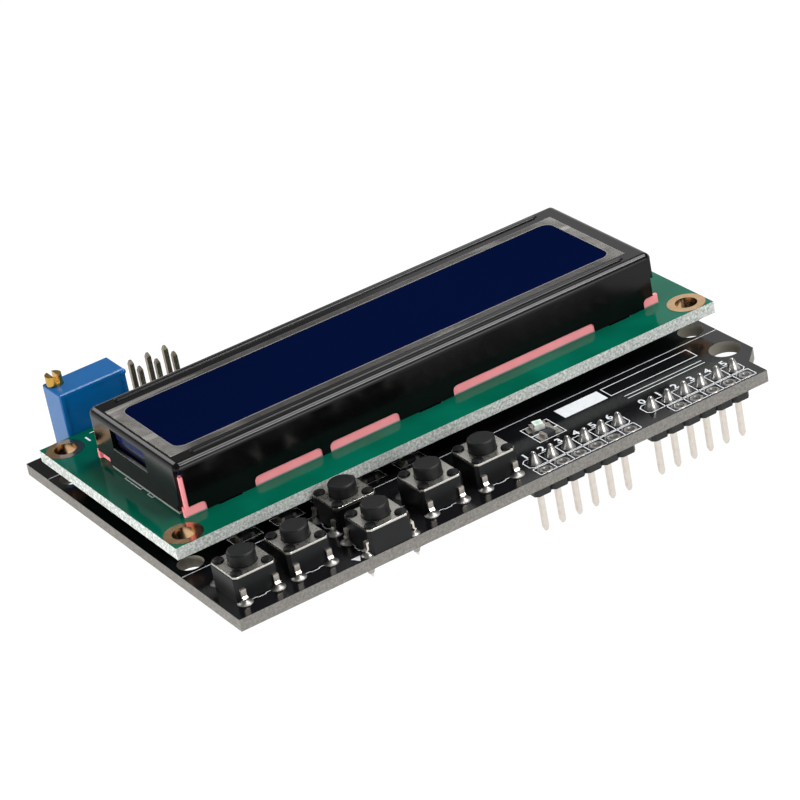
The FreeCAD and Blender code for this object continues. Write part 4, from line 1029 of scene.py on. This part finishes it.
class KEYPAD_OT_chip_ends(bpy.types.Operator):
    """Cap the ends of the chips with tin"""

    bl_idname = "keypad.chip_ends"
    bl_label = "Chip ends"

    def execute(self, context):
        shape = bmesh.new()
        for x, y in LADDER + [LAMP_RESISTOR]:
            tin_ends(shape, x, y, SHIELD_TOP, 0.62, 1.65, 0.7)
        finished(shape, "chip_ends", material("tin"))

        lamp = middle("power_lamp")
        shape = bmesh.new()
        tin_ends(shape, 0.0, 0.0, 0.0, 0.72, 1.6, 0.65)
        turn = Matrix.Rotation(math.radians(-14), 4, "Z")
        place = Matrix.Translation(Vector((lamp.x, lamp.y, SHIELD_TOP)) * MM)
        bmesh.ops.transform(shape, matrix=place @ turn, verts=shape.verts)
        finished(shape, "lamp_ends", material("tin"))
        return {"FINISHED"}


class KEYPAD_OT_stage(bpy.types.Operator):
    """Set the floor, the world, the lamps and the camera"""

    bl_idname = "keypad.stage"
    bl_label = "Stage"

    def execute(self, context):
        scene = context.scene
        values = scene.keypad_stage
        scene.view_settings.view_transform = "Standard"

        floor_mesh = bpy.data.meshes.new("floor")
        shape = bmesh.new()
        bmesh.ops.create_grid(shape, x_segments=1, y_segments=1, size=3.0,
                              matrix=Matrix.Translation((0, 0, -0.05 * MM)))
        shape.to_mesh(floor_mesh)
        shape.free()
        floor = bpy.data.objects.new("floor", floor_mesh)
        scene.collection.objects.link(floor)

        # the floor is white paper that also glows white to the camera and in reflections
        paper, tree = new_material("white paper floor")
        rays = add_node(tree, "LightPath")
        seen = add_node(tree, "Math",
                        {0: rays.outputs["Is Camera Ray"], 1: rays.outputs["Is Glossy Ray"]},
                        operation="MAXIMUM")
        shown = add_node(tree, "Math",
                         {0: seen, 1: rays.outputs["Is Transmission Ray"]}, operation="MAXIMUM")
        share = add_node(tree, "Math", {0: shown, 1: 0.94}, operation="MULTIPLY")
        matt = add_node(tree, "BsdfDiffuse", {"Color": rgba("#f4f4f4")})
        glow = add_node(tree, "Emission", {"Color": rgba("#ffffff"), "Strength": 1.06})
        mixed = add_node(tree, "MixShader", {"Fac": share, 1: matt, 2: glow})
        close_material(paper, mixed)
        floor_mesh.materials.append(paper)

        world = bpy.data.worlds.new("studio")
        scene.world = world
        world.use_nodes = True
        tree = world.node_tree
        tree.nodes.clear()
        rays = add_node(tree, "LightPath")
        seen = add_node(tree, "Math",
                        {0: rays.outputs["Is Camera Ray"],
                         1: rays.outputs["Is Transmission Ray"]}, operation="MAXIMUM")
        # reflections meet the white backdrop low down and a dim ceiling above it
        direction = add_node(tree, "TexCoord").outputs["Generated"]
        height = add_node(tree, "SeparateXYZ", {"Vector": direction})
        ceiling = add_node(tree, "MapRange",
                           {"Value": height.outputs["Z"], "From Min": 0.06, "From Max": 0.4,
                            "To Min": 1.0, "To Max": 0.1}, interpolation_type="SMOOTHSTEP")
        glossy = add_node(tree, "Math",
                          {0: rays.outputs["Is Glossy Ray"], 1: ceiling}, operation="MULTIPLY")
        bright = add_node(tree, "Math", {0: seen, 1: glossy}, operation="MAXIMUM")
        strength = add_node(tree, "Math", {0: bright, 1: 0.2}, operation="MAXIMUM")
        back = add_node(tree, "Background", {"Color": rgba("#ffffff"), "Strength": strength})
        add_node(tree, "OutputWorld", {"Surface": back})

        target = Vector((0.0, 0.0, 0.012))
        lamps = (
            ("main softbox", (0.29, 0.03, 0.6), 0.26, 0.3, 2.5),
            ("edge strip", (0.25, -0.25, 0.5), 0.3, 0.1, 2.0),
            ("back strip", (0.27, 0.38, 0.25), 0.14, 0.3, 0.09),
            ("back softbox", (-0.1, 0.5, 0.36), 0.3, 0.2, 0.8),
            ("left softbox", (-0.6, -0.08, 0.07), 0.5, 0.12, 3.4),
            ("front fill", (0.15, -0.7, 0.2), 0.5, 0.3, 1.8),
        )
        for name, place, width, depth, power in lamps:
            light = bpy.data.lights.new(name, "AREA")
            light.shape = "RECTANGLE"
            light.size = width
            light.size_y = depth
            light.energy = power * values.lamp_strength
            lamp = bpy.data.objects.new(name, light)
            lamp.location = place
            aim = target - Vector(place)
            lamp.rotation_mode = "QUATERNION"
            lamp.rotation_quaternion = aim.to_track_quat("-Z", "Y")
            scene.collection.objects.link(lamp)
            # the low lamp lights the left sides but isn't mirrored in the boards
            lamp.visible_glossy = name != "left softbox"

        # the camera was fitted to the board holes, corners and pin rows of the photograph
        camera_data = bpy.data.cameras.new("camera")
        camera_data.lens = values.focal_length
        camera_data.sensor_width = 36.0
        camera_data.clip_start = 0.01
        camera_data.clip_end = 20.0
        camera = bpy.data.objects.new("camera", camera_data)
        around, up_angle = values.azimuth, values.elevation
        back_way = Vector((math.sin(around) * math.cos(up_angle),
                           -math.cos(around) * math.cos(up_angle), math.sin(up_angle)))
        right = Vector((0, 0, 1)).cross(back_way).normalized()
        up = back_way.cross(right)
        turn = values.roll
        rolled_right = math.cos(turn) * right + math.sin(turn) * up
        rolled_up = -math.sin(turn) * right + math.cos(turn) * up
        aim = Vector((0.0, -4.02, 10.74)) * MM
        shift = Vector((1.92390, -2.01712)) * MM
        camera.matrix_world = Matrix((
            (rolled_right.x, rolled_up.x, back_way.x, 0),
            (rolled_right.y, rolled_up.y, back_way.y, 0),
            (rolled_right.z, rolled_up.z, back_way.z, 0),
            (0, 0, 0, 1)))
        camera.location = (aim - shift.x * rolled_right - shift.y * rolled_up
                           + values.distance * back_way)
        scene.collection.objects.link(camera)
        scene.camera = camera
        return {"FINISHED"}


class KEYPAD_PT_panel(bpy.types.Panel):
    """Sizes, colours and steps of the board"""

    bl_idname = "KEYPAD_PT_panel"
    bl_label = "Display Keypad Board"
    bl_space_type = "VIEW_3D"
    bl_region_type = "UI"
    bl_category = "Keypad"

    def draw(self, context):
        layout = self.layout
        for group in (context.scene.keypad_sizes, context.scene.keypad_colours,
                      context.scene.keypad_stage):
            column = layout.column(align=True)
            for name in type(group).__annotations__:
                column.prop(group, name)
        column = layout.column(align=True)
        for step in STEPS:
            column.operator(step.bl_idname)


STEPS = (
    KEYPAD_OT_finishes,
    KEYPAD_OT_board_print,
    KEYPAD_OT_display_print,
    KEYPAD_OT_pads,
    KEYPAD_OT_solder,
    KEYPAD_OT_key_caps,
    KEYPAD_OT_bezel_details,
    KEYPAD_OT_trimmer_mark,
    KEYPAD_OT_chip_ends,
    KEYPAD_OT_stage,
)
CLASSES = (KeypadSizes, KeypadColours, KeypadStage, *STEPS, KEYPAD_PT_panel)


def register():
    for item in CLASSES:
        bpy.utils.register_class(item)
    bpy.types.Scene.keypad_sizes = PointerProperty(type=KeypadSizes)
    bpy.types.Scene.keypad_colours = PointerProperty(type=KeypadColours)
    bpy.types.Scene.keypad_stage = PointerProperty(type=KeypadStage)


def unregister():
    del bpy.types.Scene.keypad_stage
    del bpy.types.Scene.keypad_colours
    del bpy.types.Scene.keypad_sizes
    for item in reversed(CLASSES):
        bpy.utils.unregister_class(item)


def main():
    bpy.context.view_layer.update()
    register()
    bpy.ops.keypad.finishes()
    bpy.ops.keypad.board_print()
    bpy.ops.keypad.display_print()
    bpy.ops.keypad.pads()
    bpy.ops.keypad.solder()
    bpy.ops.keypad.key_caps()
    bpy.ops.keypad.bezel_details()
    bpy.ops.keypad.trimmer_mark()
    bpy.ops.keypad.chip_ends()
    bpy.ops.keypad.stage()


if __name__ == "__main__":
    main()
